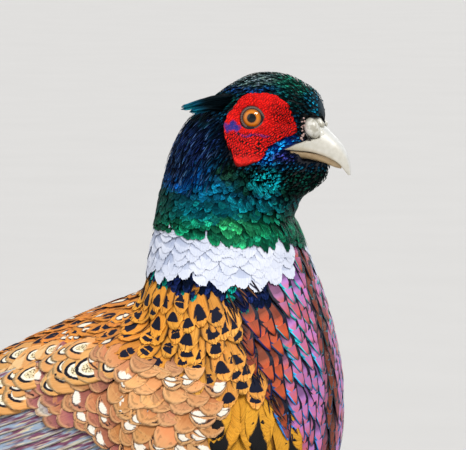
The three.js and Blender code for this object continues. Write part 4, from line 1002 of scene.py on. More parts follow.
def under_ring():
    """The dark feathers under the collar."""
    def here(a, th):
        tip_at, sway = seen(a, th, 10.0), wobble(a, th, 1.2)
        return (region(tip_at, th, sway) == UNDER_RING) | (region(tip_at - 2.5, th, sway) == UNDER_RING)
    a, th, n = scatter(skin, (90, 170), 2.6, here, 3)
    made = lay(skin, a, th, DOWNY, 9.5, 2.4, (-2.0, -0.6), around_zero(n, 0.5), 0.2, crinkle=0.15)
    pick = np.random.default_rng(4).random(n)
    green = pick < 0.2 + 0.6 * smooth(angle_of(th), 80, 30)
    buff = (pick > 0.92) & (seen(a, th, 10.0) < collar_low(angle_of(th)) - 3)
    tip = mixed(green, mixed(buff, "#16224e", "#d88a30"), "#0c8478")
    tints = {"tip": vary(tip, 0.3, 6), "base": mixed(buff, "#04080f", "#3a2a1c")}
    join("coat_under_ring", [block(DOWNY, made, a, th, 5, tints)], M_GLOSS)


def mantle():
    def here(a, th):
        return np.isin(region(seen(a, th, 12.0), th, wobble(a, th, 9) * (a < 0)), (MANTLE, BACK))
    a, th, n = scatter(skin, (-40, 150), 5.6, here, 7, stretch=1.15)
    t = angle_of(th)
    rear, low = 1 - smooth(seen(a, th, 15.0), 62, 88), smooth(t, 60, 110)
    swing = -0.18 * (t < 60) + 0.25 * low + around_zero(n, 0.4)
    size = 0.85 + 0.3 * rng.random(n)
    made = lay(skin, a, th, FRINGED, lerp(17.0, 20.0, rear) * size, 5.0 * size, (-1.7, 0.4), swing, 0.2,
               crinkle=0.1, bulge=wing_bulge)
    tip = mixed(0.5 * low, mixed(rear, "#f2aa40", "#e8943c"), "#e4ac62")
    tints = {"tip": vary(tip, 0.16, 10), "base": vary(mixed(rear, "#bc6c10", "#a8602a"), 0.2, 11)}
    white = (rear > 0.55) & (np.random.default_rng(9).random(n) < 0.6)
    blocks = [block(FRINGED, made, a, th, 8, tints, kind=rear, white=white, tall=rng.random(n))]
    join("coat_mantle", blocks, M_MANTLE)


def breast(draw):
    def here(a, th):
        return region(seen(a, th, 15.0), th) == BREAST
    a, th, n = scatter(skin, (62, 165), 4.6, here, 12, stretch=1.7)
    t, tip_at = angle_of(th), seen(a, th, 15.0)
    swing = 0.42 * (1 - smooth(t, 150, 178)) * smooth(t, 100, 125) + around_zero(n, 0.2, draw)
    orange = (1 - smooth(t, 128, 150)) * smooth(tip_at, 86, 98) + 0.5 * (draw.random(n) < 0.22)
    half = 3.6 * (1 + 0.15 * np.clip(orange, 0, 1))
    made = lay(skin, a, th, SHIELD, 21.0, half, (-1.9, 0.25), swing, 0.2, crinkle=0.06)
    # dark: toward the breast's midline the colours turn darker copper-brown, painted shade for the edge seen
    # at a grazing angle
    dark, violet, seam = smooth(t, 166, 176), 1 - smooth(t, 124, 140), dark_seam(tip_at, th)[:, None]
    base = mixed(dark, mixed(orange, "#b47cc4", "#9c4626"), "#6a2810")
    tip = mixed(dark, mixed(np.clip(orange + 0.5 * draw.random(n), 0, 1), "#d678a6", "#d85a30"), "#8a3a16")
    # colours and strength per feather of the painted glint of gloss
    blue = mixed(smooth(tip_at + 6 * draw.random(n), 96, 124), "#2c96ff", "#1cc4cc")
    gloss = mixed(violet, blue, "#2a2f8c")
    flash = (draw.random(n) < 0.8) * (0.5 + 0.5 * draw.random(n)) * (1 - dark) * (1 - 0.6 * violet)
    tints = {"tip": vary(tip, 0.18, 15) * (1 - 0.45 * seam), "base": vary(base, 0.2, 16) * (1 - 0.6 * seam),
             "gloss": vary(gloss, 0.3, 17)}
    blocks = [block(SHIELD, made, a, th, 14, tints, rim=0.6 * draw.random(n), flash=flash)]
    join("coat_breast", blocks, M_BREAST)


def seam_hair(draw):
    """Navy hair-like feathers where breast, mantle and flank meet."""
    def here(a, th):
        return dark_seam(seen(a, th, 9.0), th) > np.random.default_rng(5).random(np.shape(a)) * 0.9
    a, th, n = scatter(skin, (70, 150), 1.7, here, 6)
    made = lay(skin, a, th, HAIR, 5 + 4 * draw.random(n), 0.3 + 0.25 * draw.random(n), (-0.6, 0.6),
               0.5 + around_zero(n, 0.7, draw), draw=draw)
    pick = draw.random(n)
    tip = mixed(pick < 0.5, mixed(pick < 0.75, "#9a6440", "#3a2a38"), "#141c40")
    tints = {"tip": vary(tip, 0.3, 31), "base": tip * 0.2}
    join("coat_seam_hair", [block(HAIR, made, a, th, 29, tints)], M_SOFT)


def flanks():
    def here(a, th):
        tip_at = seen(a, th, 24.0)
        return (region(tip_at, th) == FLANK) & (angle_of(th) > np.interp(tip_at, [40, 76, 94], [86, 94, 100]))
    a, th, n = scatter(skin, (-40, 130), 7.6, here, 18, stretch=2.0)
    made = lay(skin, a, th, FRINGED, 38.0, 6.6, (-2.6, 0.7), 0.25 + around_zero(n, 0.35), 0.35, crinkle=0.15)
    low = smooth(angle_of(th), 135, 168)
    tip, base = mixed(low, "#eeac32", "#8a5018"), mixed(low, "#b87810", "#4a2810")
    violet = rng.random(n) < 0.35
    tints = {"tip": vary(tip, 0.12, 20), "base": vary(base, 0.15, 21)}
    join("coat_flank", [block(FRINGED, made, a, th, 19, tints, violet=violet)], M_FLANK)


def rump_and_belly():
    def on_rump(a, th):
        return region(seen(a, th, 18.0), th, wobble(a, th, 9)) == RUMP

    def on_belly(a, th):
        return (region(seen(a, th, 16.0), th) == BELLY) & (angle_of(th) > 92)
    a, th, n = scatter(skin, (-172, 40), 6.4, on_rump, 22)
    made = lay(skin, a, th, FRINGED, 22.0, 4.8, (-2.0, 0.4), around_zero(n, 0.4), 0.25, crinkle=0.3)
    side = smooth(angle_of(th), 18, 55)
    tip, base = mixed(side, "#8fa39a", "#a85a2c"), mixed(side, "#3c5a5c", "#5a2c18")
    blocks = [block(FRINGED, made, a, th, 23, {"tip": vary(tip, 0.2, 24), "base": vary(base, 0.2, 25)})]
    a, th, n = scatter(skin, (-172, 90), 6.6, on_belly, 26)
    made = lay(skin, a, th, DOWNY, 20.0, 4.8, (-2.0, 0.4), around_zero(n, 0.5), 0.25, crinkle=0.3)
    tip, base = mixed(rng.random(n), "#3c2818", "#5c3c20"), mixed(rng.random(n), "#140e0c", "#20160e")
    blocks.append(block(DOWNY, made, a, th, 27, {"tip": tip, "base": base}))
    join("coat_rump_belly", blocks, M_SOFT)


# The coat of neck and head: from and to along the skin, spacing, length, half width, lift of roots and tips
HEAD_FRONT = BODY_FRONT - 0.7
HEAD_ZONES = [
    (138, 158, 2.3, 9.0, 2.5, -1.0, 0.45), (156, 176, 1.8, 7.5, 1.6, -1.4, 0.12),
    (174, HEAD_FRONT, 1.3, 4.8, 0.75, -1.0, 0.0),
]


def head_coat():
    blocks = []
    for k, (lo, hi, spacing, length, half, root, lift) in enumerate(HEAD_ZONES):
        first, last = k == 0, k == 2

        def here(a, th):
            tip_at = seen(a, th, length)
            good = (region(tip_at, th, wobble(a, th, 1.0)) == GREEN) & (tip_at > (lo if first else lo + 3))
            return good & (last | (tip_at < hi)) & ~in_wattle(a, th, 0.3) & ~on_bill(a, th)
        a, th, n = scatter(skin, (lo, min(hi + 22, HEAD_FRONT)), spacing, here, 30 + k)
        size = np.where(face(a, th)[0] > 18, 0.75, 1.0) * (0.8 + 0.4 * rng.random(n))
        size = size * (1 - 0.25 * (not last) * smooth(angle_of(th), 120, 150))
        shape = SMALL if last else ROUND
        made = lay(skin, a, th, shape, length * size, half * size, (root, lift), around_zero(n, 0.6), 0.1,
                   crinkle=0.15)
        tip, base = face_colours(np.maximum(seen(a, th, length, 0.6), 120), th)
        blocks.append(block(shape, made, a, th, 40 + k, {"tip": vary(tip, 0.35, 43 + k), "base": base}))
    join("coat_neck", blocks[:2], M_GLOSS)
    join("coat_head", blocks[2:], M_GLOSS)


BREAST_DRAW = np.random.default_rng(13)
collar()
under_ring()
mantle()
breast(BREAST_DRAW)
seam_hair(BREAST_DRAW)
flanks()
rump_and_belly()
head_coat()

# The closed skin under the coat
SKIN_TINTS = {
    BELLY: "#2a1c12", RUMP: "#6a5a44", BACK: "#a86a2c", FLANK: "#a06a18", MANTLE: "#7a5020",
    BREAST: "#3a1c2c", UNDER_RING: "#101c30", COLLAR: "#c8d0dc",
}


def skin_mesh():
    d = Draw("skin_under_feathers", 0.85)
    pores = d.noise(d.space(), 900, 3)
    colour = d.mix(pores, d.shade(d.colour("tint"), 0.6), d.shade(d.colour("tint"), 1.1))
    material = d.finish(colour, pores, 0.4, 0.0003)
    around = 120
    ats = np.concatenate([np.linspace(BODY_REAR, 150, 110), np.linspace(151, BODY_FRONT, 70)])
    A, T = np.meshgrid(ats, (np.arange(around) / around * 2 - 1) * np.pi, indexing="ij")
    depth = lerp(-2.4, -1.1, smooth(A, 150, 190))
    P = lifted(straight_skin, np.clip(A, BODY_REAR + END_MARGIN, BODY_FRONT - END_MARGIN), T, depth)
    x, z = P[..., 0] - NECK_X, P[..., 2] - EYE_Z
    # the skin draws in behind the bill and its gape
    bed = smooth(x, 40.6, 41.8) * (1 - smooth(z, 0, 1.2)) * smooth(z, -22.5, -21.2)
    gape = smooth(x, 37.8, 38.8) * (1 - smooth(z, -14.5, -13.5)) * smooth(z, -21.8, -20.8)
    P[..., 1] *= 1 - 0.85 * np.maximum(bed, gape)
    kind = region(A, T)
    tint = face_colours(A, T)[1]
    for key, code in SKIN_TINTS.items():
        tint[kind == key] = paint(code)
    tint = np.concatenate([tint.reshape(-1, 3), tint[0, :1], tint[-1, :1]])
    uv = np.concatenate([bake_place(A, T).reshape(-1, 2), [[0.5, 0.01], [0.5, 0.99]]])
    make_mesh("skin_whole", tube(turned(P), outward=False), material,
              ("torso", "neck_collar", "neck_upper", "head"), colours={"tint": tint}, uvs={"OFBake": uv})


skin_mesh()


# Eyes and lids
def on_eye(side, tilt, turn, radius):
    """A point round the eyeball: tilt from its axis, turn from ahead upward."""
    axis = eye_axis(side)
    ahead = unit(np.array([1.0, 0, 0]) - axis * axis[0])
    up = unit(np.cross(axis, ahead)) * np.sign(np.cross(axis, ahead)[2])
    tilt, turn, radius = (k[..., None] for k in np.broadcast_arrays(tilt, turn, radius))
    ring = np.cos(turn) * ahead + np.sin(turn) * up
    return eye_centre(side) + radius * (np.cos(tilt) * axis + np.sin(tilt) * ring)


def eyes():
    d = Draw("eye_glossy", 0.6, Coat_Weight=0.8, Coat_Roughness=0.03, Specular_IOR_Level=0.05)
    tilt, turn = d.number("tilt"), d.number("turn")
    rays = d.noise(d.vector(turn.wave() * 3, (turn + QUARTER_TURN).wave() * 3, tilt * 1.4), 4.5, 4)
    amber = d.mix(rays, "#a04c06", "#ee9214")
    amber = d.mix(d.step(tilt, 25, 35.5) * 0.75, amber, "#7a3a08")
    amber = d.mix((1 - d.step(tilt, 18, 23)) * 0.5, amber, "#6c2f06")
    colour = d.mix(d.step(tilt + rays * 0.8, 36.0, 38.2), amber, "#0c0806")
    material = d.finish(d.mix(1 - d.step(tilt, 17.0, 18.2), colour, "#020202"))
    tilts = np.concatenate([np.linspace(0.6, 50, 70), np.linspace(55, 176, 22)])
    A, T = np.meshgrid(tilts * DEG, turns_of(72), indexing="ij")
    marks = {"tilt": np.append(A.ravel() / DEG, [0, 180]), "turn": np.append(T.ravel(), [0, 0])}
    for name, side in SIDES:
        faces = tube(turned(on_eye(side, A, T, EYE_RADIUS)))
        make_mesh(f"eyeball_{name}", faces, material, (f"eye_{name}",), marks)


# tilt from the eye's axis in degrees, distance from its middle, how pale the lid is
LID_PROFILE = [
    [36.5, 6.9, 0], [38.5, 7.26, 0], [39.8, 7.62, 0.55], [42, 7.9, 1],
    [45, 8.0, 0.45], [48, 7.9, 0.08], [53, 7.6, 0.0], [58, 7.0, 0],
]


def lids():
    d = Draw("lid_skin", 0.55)
    grain = d.noise(d.space(), 2600, 3)
    colour = d.mix(1 - d.number("high"), d.mix(grain, "#2e1e1a", "#7c6258"), "#140808")
    material = d.finish(colour, grain, 0.5, 0.0001)
    parts, n, across = [], 160, 22
    t = np.linspace(0, 1, across)
    rows = through(LID_PROFILE, t)
    T, R = np.meshgrid(turns_of(n), rows[:, 1], indexing="ij")
    corner = np.exp(-((((T + 0.12 + np.pi) % (2 * np.pi)) - np.pi) / 0.34) ** 2)
    A = rows[None, :, 0] + corner * 8.5 * (1 - smooth(t, 0.5, 1.0))[None, :] - 1.6 * np.sin(T) ** 2
    folds = 0.13 * np.sin(T * 34 + 2 * np.sin(T * 3)) * np.sin(np.pi * t)[None, :]
    high = np.concatenate([np.broadcast_to(rows[:, 2], (n, across)), np.zeros((n, across))], 1)
    high = high * (1 - 0.6 * np.concatenate([corner, corner[:, ::-1]], 1))
    for _, side in SIDES:
        top = on_eye(side, A * DEG, T, R + folds)
        under = on_eye(side, A * DEG, T, np.minimum(R, 6.9) - 0.5)
        points = turned(np.concatenate([top, under[:, ::-1]], axis=1).reshape(-1, 3))
        quads = grid_quads(n, 2 * across, closed=True)[:, ::side]
        parts.append((from_quads(points, quads), {"high": high.ravel()}))
    faces, numbers = together(parts)
    make_mesh("eyelids", faces, material, numbers=numbers)


# The red wattle
def wattle_material():
    d = Draw("wattle_red", 0.65, Specular_IOR_Level=0.12)
    crest, dots, pale, patch = (d.number(key) for key in ("crest", "dots", "pale", "patch"))
    grain, cloud = d.noise(d.space(), 1500, 3), d.noise(d.space(), 260, 2)
    # painted shade and highlight: low crest gives dark red crevices between the bulbs, high crest the bright
    # tops; grain and cloud add the skin's own tone
    colour = d.mix((crest * 1.2 + grain * 0.6 + cloud * 0.6 - 0.75).clamp(), "#6a0200", "#f5100a")
    # painted highlight #ff3a20 on the bulb tops
    colour = d.mix(d.step(crest * grain, 0.4, 0.66) * 0.5, colour, "#ff3a20")
    colour = d.mix(pale * (grain * 0.5), colour, "#f03c34")
    colour = d.mix(dots, colour, "#070203")
    colour = d.mix(patch, colour, d.mix(grain, "#10123c", "#3f3aa0"))
    return d.finish(colour, grain, 0.5, 0.0002)


def wattles():
    rings, spokes, inner = 64, 360, 5.5
    S, T = np.meshgrid(np.linspace(0, 1, rings), turns_of(spokes), indexing="ij")
    reach = inner + (wattle_reach(T) + 0.4 - inner) * S
    x, z = reach * np.cos(T) - 0.5 * (1 - S), reach * np.sin(T)
    # small bulbs in slanting rows, uneven in size
    warp = 0.35 * np.sin(x * 0.9 + z * 0.5) + 0.3 * np.sin(z * 1.3 - x * 0.4)
    warp = warp + 0.22 * np.sin(x * 2.3 - z * 1.1 + 2) + 0.2 * np.sin(x * 1.4 + z * 2.7)
    p, q = (x * 0.78 + z * 0.62) / 1.22 + warp, (-x * 0.62 + z * 0.78) / 1.05 + warp * 0.6
    q_cell = np.floor(q + 0.5)
    p = p + 0.5 * (q_cell % 2)
    p_cell = np.floor(p + 0.5)
    bulb = np.maximum(0, np.cos(np.pi * (p - p_cell))) * np.maximum(0, np.cos(np.pi * (q - q_cell)))
    cell = np.abs(np.sin(p_cell * 12.9898 + q_cell * 78.233) * 43758.5453) % 1.0
    height = 0.85 + 0.5 * np.sin(np.pi * np.clip(S, 0, 1)) ** 0.7 - 1.9 * smooth(S, 0.94, 1.0)
    folds = 0.22 * np.sin(1.1 * (z * 0.8 + x * 0.5) + warp * 2)
    folds = folds * smooth(S, 0.1, 0.3) * (1 - smooth(S, 0.85, 1))
    bulbs = 0.58 * bulb ** 0.8 * (0.5 + 0.6 * cell) * (1 - smooth(S, 0.93, 1)) * smooth(S, 0.0, 0.08)
    height = height + folds + bulbs
    # where dark pits, a violet patch and paler skin lie
    pitted = smooth(-z, 6, 8) * (1 - smooth(np.abs(x + 2), 11, 14))
    pitted = pitted + smooth(x, 7, 10) * (1 - smooth(z, 4, 9)) * smooth(z, -14, -9)
    pitted = np.clip(pitted * (1 - smooth(-z, 17, 20)), 0, 1)
    patch = blob(x, z, -8.8, -4.6 + 0.7 * np.sin(x * 1.3), 4.4, 2.3)
    patch = patch + 0.6 * blob(x, z, 1.0, -8.4 + 0.5 * np.sin(x * 0.8), 6.5, 0.7, 0.6)
    marks = {
        # crest: height of each bulb with a random tone per bulb; the material paints shade in the crevices
        # and highlights on the tops, and it is darkened along the outer edge as painted shade where the skin
        # turns under
        "crest": np.clip(bulb ** 0.9 * (0.45 + 0.55 * cell) + 0.24, 0, 1) * (1 - 0.7 * smooth(S, 0.955, 1)),
        "dots": smooth(1 - bulb, 0.45, 0.8) * pitted * (cell > 0.12),
        "pale": smooth(-z, 15, 21) + 0.4 * smooth(-x, 9, 12),
        "patch": patch * 1.5 - 0.6 * cell - 0.25 * (1 - bulb),
    }
    marks = {key: np.concatenate([np.clip(value, 0, 1).ravel()] * 2) for key, value in marks.items()}
    # an upper and an under sheet with a wall along each edge
    n, k = rings * spokes, np.arange(spokes)
    k2, sheet = (k + 1) % spokes, grid_quads(rings, spokes)
    wall = np.stack([k, k2, k2 + n, k + n], -1)
    quads = np.concatenate([sheet, wall, wall[:, [1, 0, 3, 2]] + (n - spokes), sheet[:, ::-1] + n])
    parts, lifts = [], (height, np.full(x.shape, -1.7))
    for _, side in SIDES:
        at, th = on_side(EYE_X + x, EYE_Z + z, side)
        sheets = [lifted(straight_skin, at, th, lift).reshape(-1, 3) for lift in lifts]
        parts.append((from_quads(turned(np.concatenate(sheets)), quads[:, ::-side]), marks))
    faces, numbers = together(parts)
    make_mesh("face_wattles", faces, wattle_material(), numbers=numbers)


# The bill: x and z of the upper and lower edge from the gape to the tip, half width
UPPER_BILL = [
    [37.5, 1, 31.4, -15.5, 8.9], [38.5, 0.5, 32.4, -15.6, 8.8], [45, 0, 40.2, -16.1, 7.8],
    [49.5, -4.5, 44.5, -16.6, 6.7], [53.8, -8.7, 49, -17.9, 5.5], [57.5, -12.8, 53.2, -19.7, 4.4],
    [60, -17.3, 56.7, -22, 3.3], [61.6, -22.3, 59, -24.8, 2.1], [61.9, -27.4, 60.6, -27.3, 0.7],
]
LOWER_BILL = [
    [33.5, -15.6, 34.5, -20.2, 7.2], [40, -16.1, 39.6, -20.2, 6.5], [46, -16.9, 45.4, -21.3, 5.0],
    [51, -18.4, 50.4, -22.7, 3.6], [54.5, -20.5, 54, -23.9, 2.4], [57.2, -22.9, 57, -24.5, 1.0],
]
# half of each section: share up from the lower edge, share of the half width
UPPER_HALF = [
    [1, 0], [0.94, 0.34], [0.77, 0.64], [0.52, 0.86], [0.24, 0.98], [0.02, 1.0], [0.04, 0.72], [0.14, 0.36],
    [0.17, 0],
]
LOWER_HALF = [[1, 0], [0.98, 0.6], [0.9, 1], [0.55, 0.9], [0.2, 0.62], [0, 0]]
# centre, half sizes, seed, pitch in degrees and roughness of the lobes over the nostril
NOSTRIL_LOBES = [
    ([44.1, 4.6, -5.1], [3.9, 3.7, 5.0], 3, -17, 0.07), ([48.2, 3.0, -7.9], [1.7, 1.7, 2.6], 8, -35, 0.1),
    ([46.9, 2.4, -2.6], [1.8, 1.6, 3.0], 9, -50, 0.1),
]
# the nostril: a thin lobe painted near-black as painted shade for the opening
NOSTRIL = ([42.3, 6.7, -8.7], [3.1, 0.8, 0.5], 4, 54, 0.03)
WARTS = 16


def face_point(x, y, z):
    x, y, z = np.broadcast_arrays(x, y, z)
    return np.stack([NECK_X + x, y, EYE_Z + z], -1)


def bill_part(stations, half_section, rows, per_half):
    s, h = through(stations, np.linspace(0, 1, rows)), through(half_section, np.linspace(0, 1, per_half))
    h[0, 1] = h[-1, 1] = 0
    across = np.concatenate([h, h[1:-1][::-1] * [1, -1]])
    top, edge = s[:, None, 0:2], s[:, None, 2:4]
    place = edge + (top - edge) * across[None, :, 0:1]
    y = across[None, :, 1] * s[:, 4:5]
    along = np.broadcast_to(np.linspace(0, 1, rows)[:, None], y.shape)
    marks = {"along": along, "up": np.broadcast_to(across[None, :, 0], y.shape)}
    marks = {key: np.append(value.ravel(), [0.5, 0.5]) for key, value in marks.items()}
    return face_point(place[..., 0], y, place[..., 1]), marks


def horn_material():
    d = Draw("bill_horn", 0.33, Coat_Weight=0.15, Coat_Roughness=0.3, Specular_IOR_Level=0.5)
    along, up, lobe, place = d.number("along"), d.number("up"), d.number("lobe"), d.space()
    grain, fine, furrow = d.noise(place, 420, 4), d.noise(place, 2400, 3), d.noise(place, 420, 2)
    ivory = d.mix(grain, "#aea999", "#d2cfc6")
    ivory = d.mix((1 - d.step(along, 0.05, 0.42)) * 0.5, ivory, "#96947e")
    # painted highlight: the top of the upper bill lighter and bluish white
    ivory = d.mix(d.step(up, 0.7, 1.0) * 0.4, ivory, "#d3d9de")
    ivory = d.mix((1 - d.step(up, 0.0, 0.2)) * 0.55, ivory, "#a08c68")
    ivory = d.mix(lobe * 0.8, ivory, d.mix(d.step(furrow, 0.36, 0.6), "#a5a192", "#d2d0c6"))
    ivory = d.mix(d.number("pink") * 0.85, ivory, d.mix(grain, "#7c5650", "#b09088"))
    ivory = d.mix(d.number("lower"), ivory, d.mix(grain, "#a5855c", "#d2b890"))
    # painted shade: the nostril slit is a near-black lobe that stands for the dark inside of the opening
    ivory = d.mix(d.number("slit"), ivory, "#14100c")
    return d.finish(ivory, grain * 0.7 + fine * 0.3, 0.25, 0.0003)


def value_noise(p, scale, seed):
    """Smooth noise from -1 to 1 at points, from a few turned waves."""
    draw = np.random.default_rng(seed)
    out = np.zeros(p.shape[:-1])
    for _ in range(7):
        way = unit(draw.normal(size=3)) * (0.6 + draw.random() * 0.9) / scale
        out += np.sin(2 * np.pi * (p @ way) + draw.random() * 6.28)
    return out / 3.0


def lumpy(centre, sizes, seed, pitch, amount, side):
    """A rounded, uneven lobe."""
    A, T = np.meshgrid(np.linspace(0.04, np.pi - 0.04, 34), turns_of(48), indexing="ij")
    p = np.stack([np.cos(A), np.sin(A) * np.cos(T), np.sin(A) * np.sin(T)], -1)
    lumps = amount * value_noise(p, 1.5, seed) + 0.012 * value_noise(p, 0.5, seed + 1)
    p = p * (1 + lumps[..., None]) * np.asarray(sizes)
    c, s = np.cos(pitch * DEG), np.sin(pitch * DEG)
    x, z = p[..., 0] * c + p[..., 2] * s, -p[..., 0] * s + p[..., 2] * c
    return tube(turned(np.stack([x, side * p[..., 1], z], -1) + np.asarray(centre) * [1, side, 1]))


def horn_part(faces, marks=None, **flags):
    n = len(faces[0])
    numbers = {key: np.full(n, float(flags.get(key, 0))) for key in ("lobe", "lower", "slit", "pink")}
    return faces, {"along": np.full(n, 0.35), "up": np.full(n, 0.6)} | numbers | (marks or {})


def bill():
    material = horn_material()
    p, marks = bill_part(UPPER_BILL, UPPER_HALF, 150, 48)
    x, z = p[..., 0] - NECK_X, p[..., 2] - EYE_Z
    line = np.interp(x, [30, 36.5, 41, 46.8], [-15.4, -12.4, -10.9, -10])
    room = smooth(z - line, -0.9, 0.5) * (1 - smooth(x, 46.5, 50.5))
    room = lerp(9.0, 2.4 + 0.5 * smooth(x, 44, 49), room)
    p[..., 1] = np.clip(p[..., 1], -room, room)
    parts = [horn_part(tube(turned(p)), marks)]
    for _, side in SIDES:
        for centre, *look in NOSTRIL_LOBES:
            parts.append(horn_part(lumpy(face_point(*centre), *look, side), lobe=1))
        parts.append(horn_part(lumpy(face_point(*NOSTRIL[0]), *NOSTRIL[1:], side), slit=1))
        # small pale warts behind the lobe
        draw = np.random.default_rng(50)
        for k in range(WARTS):
            x, z = 39.4 + 1.5 * draw.random(), -1.5 - 0.65 * k + 1.5 * draw.random()
            size = 0.3 + 0.45 * draw.random() ** 1.5
            centre = straight_skin(*on_side(NECK_X + x, EYE_Z + z, side)) * [1, side, 1]
            wart = lumpy(centre, [size, size * 0.8, size], 51 + k, 0, 0.05, side)
            parts.append(horn_part(wart, lobe=1, pink=1))
    faces, numbers = together(parts)
    make_mesh("bill_upper_horn", faces, material, ("bill_upper",), numbers)
    p, marks = bill_part(LOWER_BILL, LOWER_HALF, 60, 20)
    marks["up"] = np.full(len(marks["up"]), 0.6)
    faces, numbers = horn_part(tube(turned(p)), marks, lower=1)
    make_mesh("bill_lower_horn", faces, material, ("bill_lower",), numbers)


eyes()
lids()
wattles()
bill()

# Feathers that stand free of the head
TUFT_ROOT_X, TUFT_ROOT_Z, TUFT_FEATHERS = NECK_X + 7, EYE_Z + 8.5, 34
TUFT_TIP = face_point(-17.6, 22.5, 4.4)


def tufts():
    blocks, n = [], TUFT_FEATHERS
    draw = np.random.default_rng(60)
    for _, side in SIDES:
        t = draw.random(n)
        back, up = t * 6 - 1, 2.0 - t * 6 + around_zero(n, 2.5, draw)
        at, th = on_side(TUFT_ROOT_X - back, TUFT_ROOT_Z + up, side)
        out = outward_of(straight_skin, at, th)
        reach = np.where(t < 0.35, 0, (t - 0.35) * 12) + draw.random(n) * 4
        height = -1.5 + draw.random(n) * 2.2
        tip = TUFT_TIP + np.stack([reach, height, 0.8 - 3.4 * t + around_zero(n, 1.6, draw)], -1)
        tip[:, 1] *= side
        half, bow = 0.9 + draw.random(n) * 0.7, 1.4 + draw.random(n) * 0.8
        sweep = around_zero(n, 1.2, draw)
        points = lay_line(straight_skin(at, th) - out * 1.2, tip, out, half, POINTED, bow, draw, sweep)
        tints = {"tip": vary(plain(n, "#0b5468"), 0.4, 61), "base": plain(n, "#020a0e")}
        blocks.append(block(POINTED, turned(points), at, th, 62, tints))
    join("ear_tufts", blocks, M_GLOSS)


def plumes():
    """Fine hair-like feathers behind the wattle, swept back and down."""
    def here(a, th):
        x, z, _ = face(a, th)
        inside = blob(x, z, -24, -12, 17, 15, 0.3) > 0.3
        return inside & (x < -8) & ~in_wattle(a, th, -0.5) & (a > 160) & (region(a, th) == GREEN)
    a, th, n = scatter(skin, (160, 200), 1.5, here, 63)
    draw = np.random.default_rng(64)
    made = lay(skin, a, th, HAIR, 7.5 + 5 * draw.random(n), 0.42 + 0.3 * draw.random(n), (-0.6, 0.9),
               around_zero(n, 0.55, draw) + 0.15, draw=draw)
    tip, base = face_colours(a, th)
    tints = {"tip": vary(mixed(draw.random(n) < 0.22, tip, "#5c86c0"), 0.45, 66), "base": base * 1.2}
    join("coat_plumes", [block(HAIR, made, a, th, 65, tints)], M_GLOSS)


tufts()
plumes()

# The wings
FLIGHT_TINTS = ("#a89878", "#6c5a44")
# number of feathers, place and angle of roots, the same of tips, half width, lift of roots and tips, colours
FLIGHT_TIERS = [
    (7, (-8, -24), (105, 84), (-128, -160), (102, 70), (6.2, 5.6), 1.0, (1.4, 2.0), FLIGHT_TINTS),
    (11, (18, 0), (104, 55), (-66, -146), (108, 52), (6.2, 7.0), 2.4, (3.4, 3.9), FLIGHT_TINTS),
    (5, (2, 12), (54, 38), (-136, -100), (46, 31), (7.6, 7.4), 1.0, (5.2, 3.4), ("#b08a60", "#6e4a38")),
    (20, (62, 42), (106, 46), (2, -60), (108, 42), (4.4, 5.6), 3.4, (5.8, 6.2), ("#c0b8a8", "#7a4650")),
]
GREATER_TIER = 3
covert_low = curve([36, 44, 53, 64, 83, 104], [-8, -4, 9, 38, 60, 64])
covert_high = curve([36, 42, 52, 66, 80, 90, 102, 108], [36, 60, 78, 92, 98, 101, 102, 96])
scapular_low = curve([24, 34, 44, 60], [-34, -30, -14, 20])


def on_coverts(a, th):
    t = angle_of(th)
    low = covert_low(t) + 5 * np.sin(t * 0.9) * np.cos(a * 0.3)
    return (t > 38) & (t < 108) & (a > low) & (a < covert_high(t))


def on_scapulars(a, th):
    t = angle_of(th)
    return (t > 27) & (t < 58) & (a > scapular_low(t)) & (a < mantle_low(t) + 8) & (a < 90)


def flight_tier(k, side):
    count, root_at, root_angle, tip_at, tip_angle, half, root_lift, tip_lift, codes = FLIGHT_TIERS[k]
    share = np.arange(count) / (count - 1)
    a, t, tip_a, tip_t, half, tip_lift = (
        lerp(*ends, share) for ends in (root_at, root_angle, tip_at, tip_angle, half, tip_lift))
    th, step = side * t * DEG, (tip_a - a, side * (tip_t - t) * DEG)
    made = lay(skin, a, th, VANE, 1.0, half, (root_lift, tip_lift), tilt=-0.8 * side, step=step)
    tip, base = (plain(count, code) for code in codes)
    return block(VANE, made, a, th, 74 + k, {"tip": vary(tip, 0.2, 78 + k), "base": vary(base, 0.25, 82 + k)})


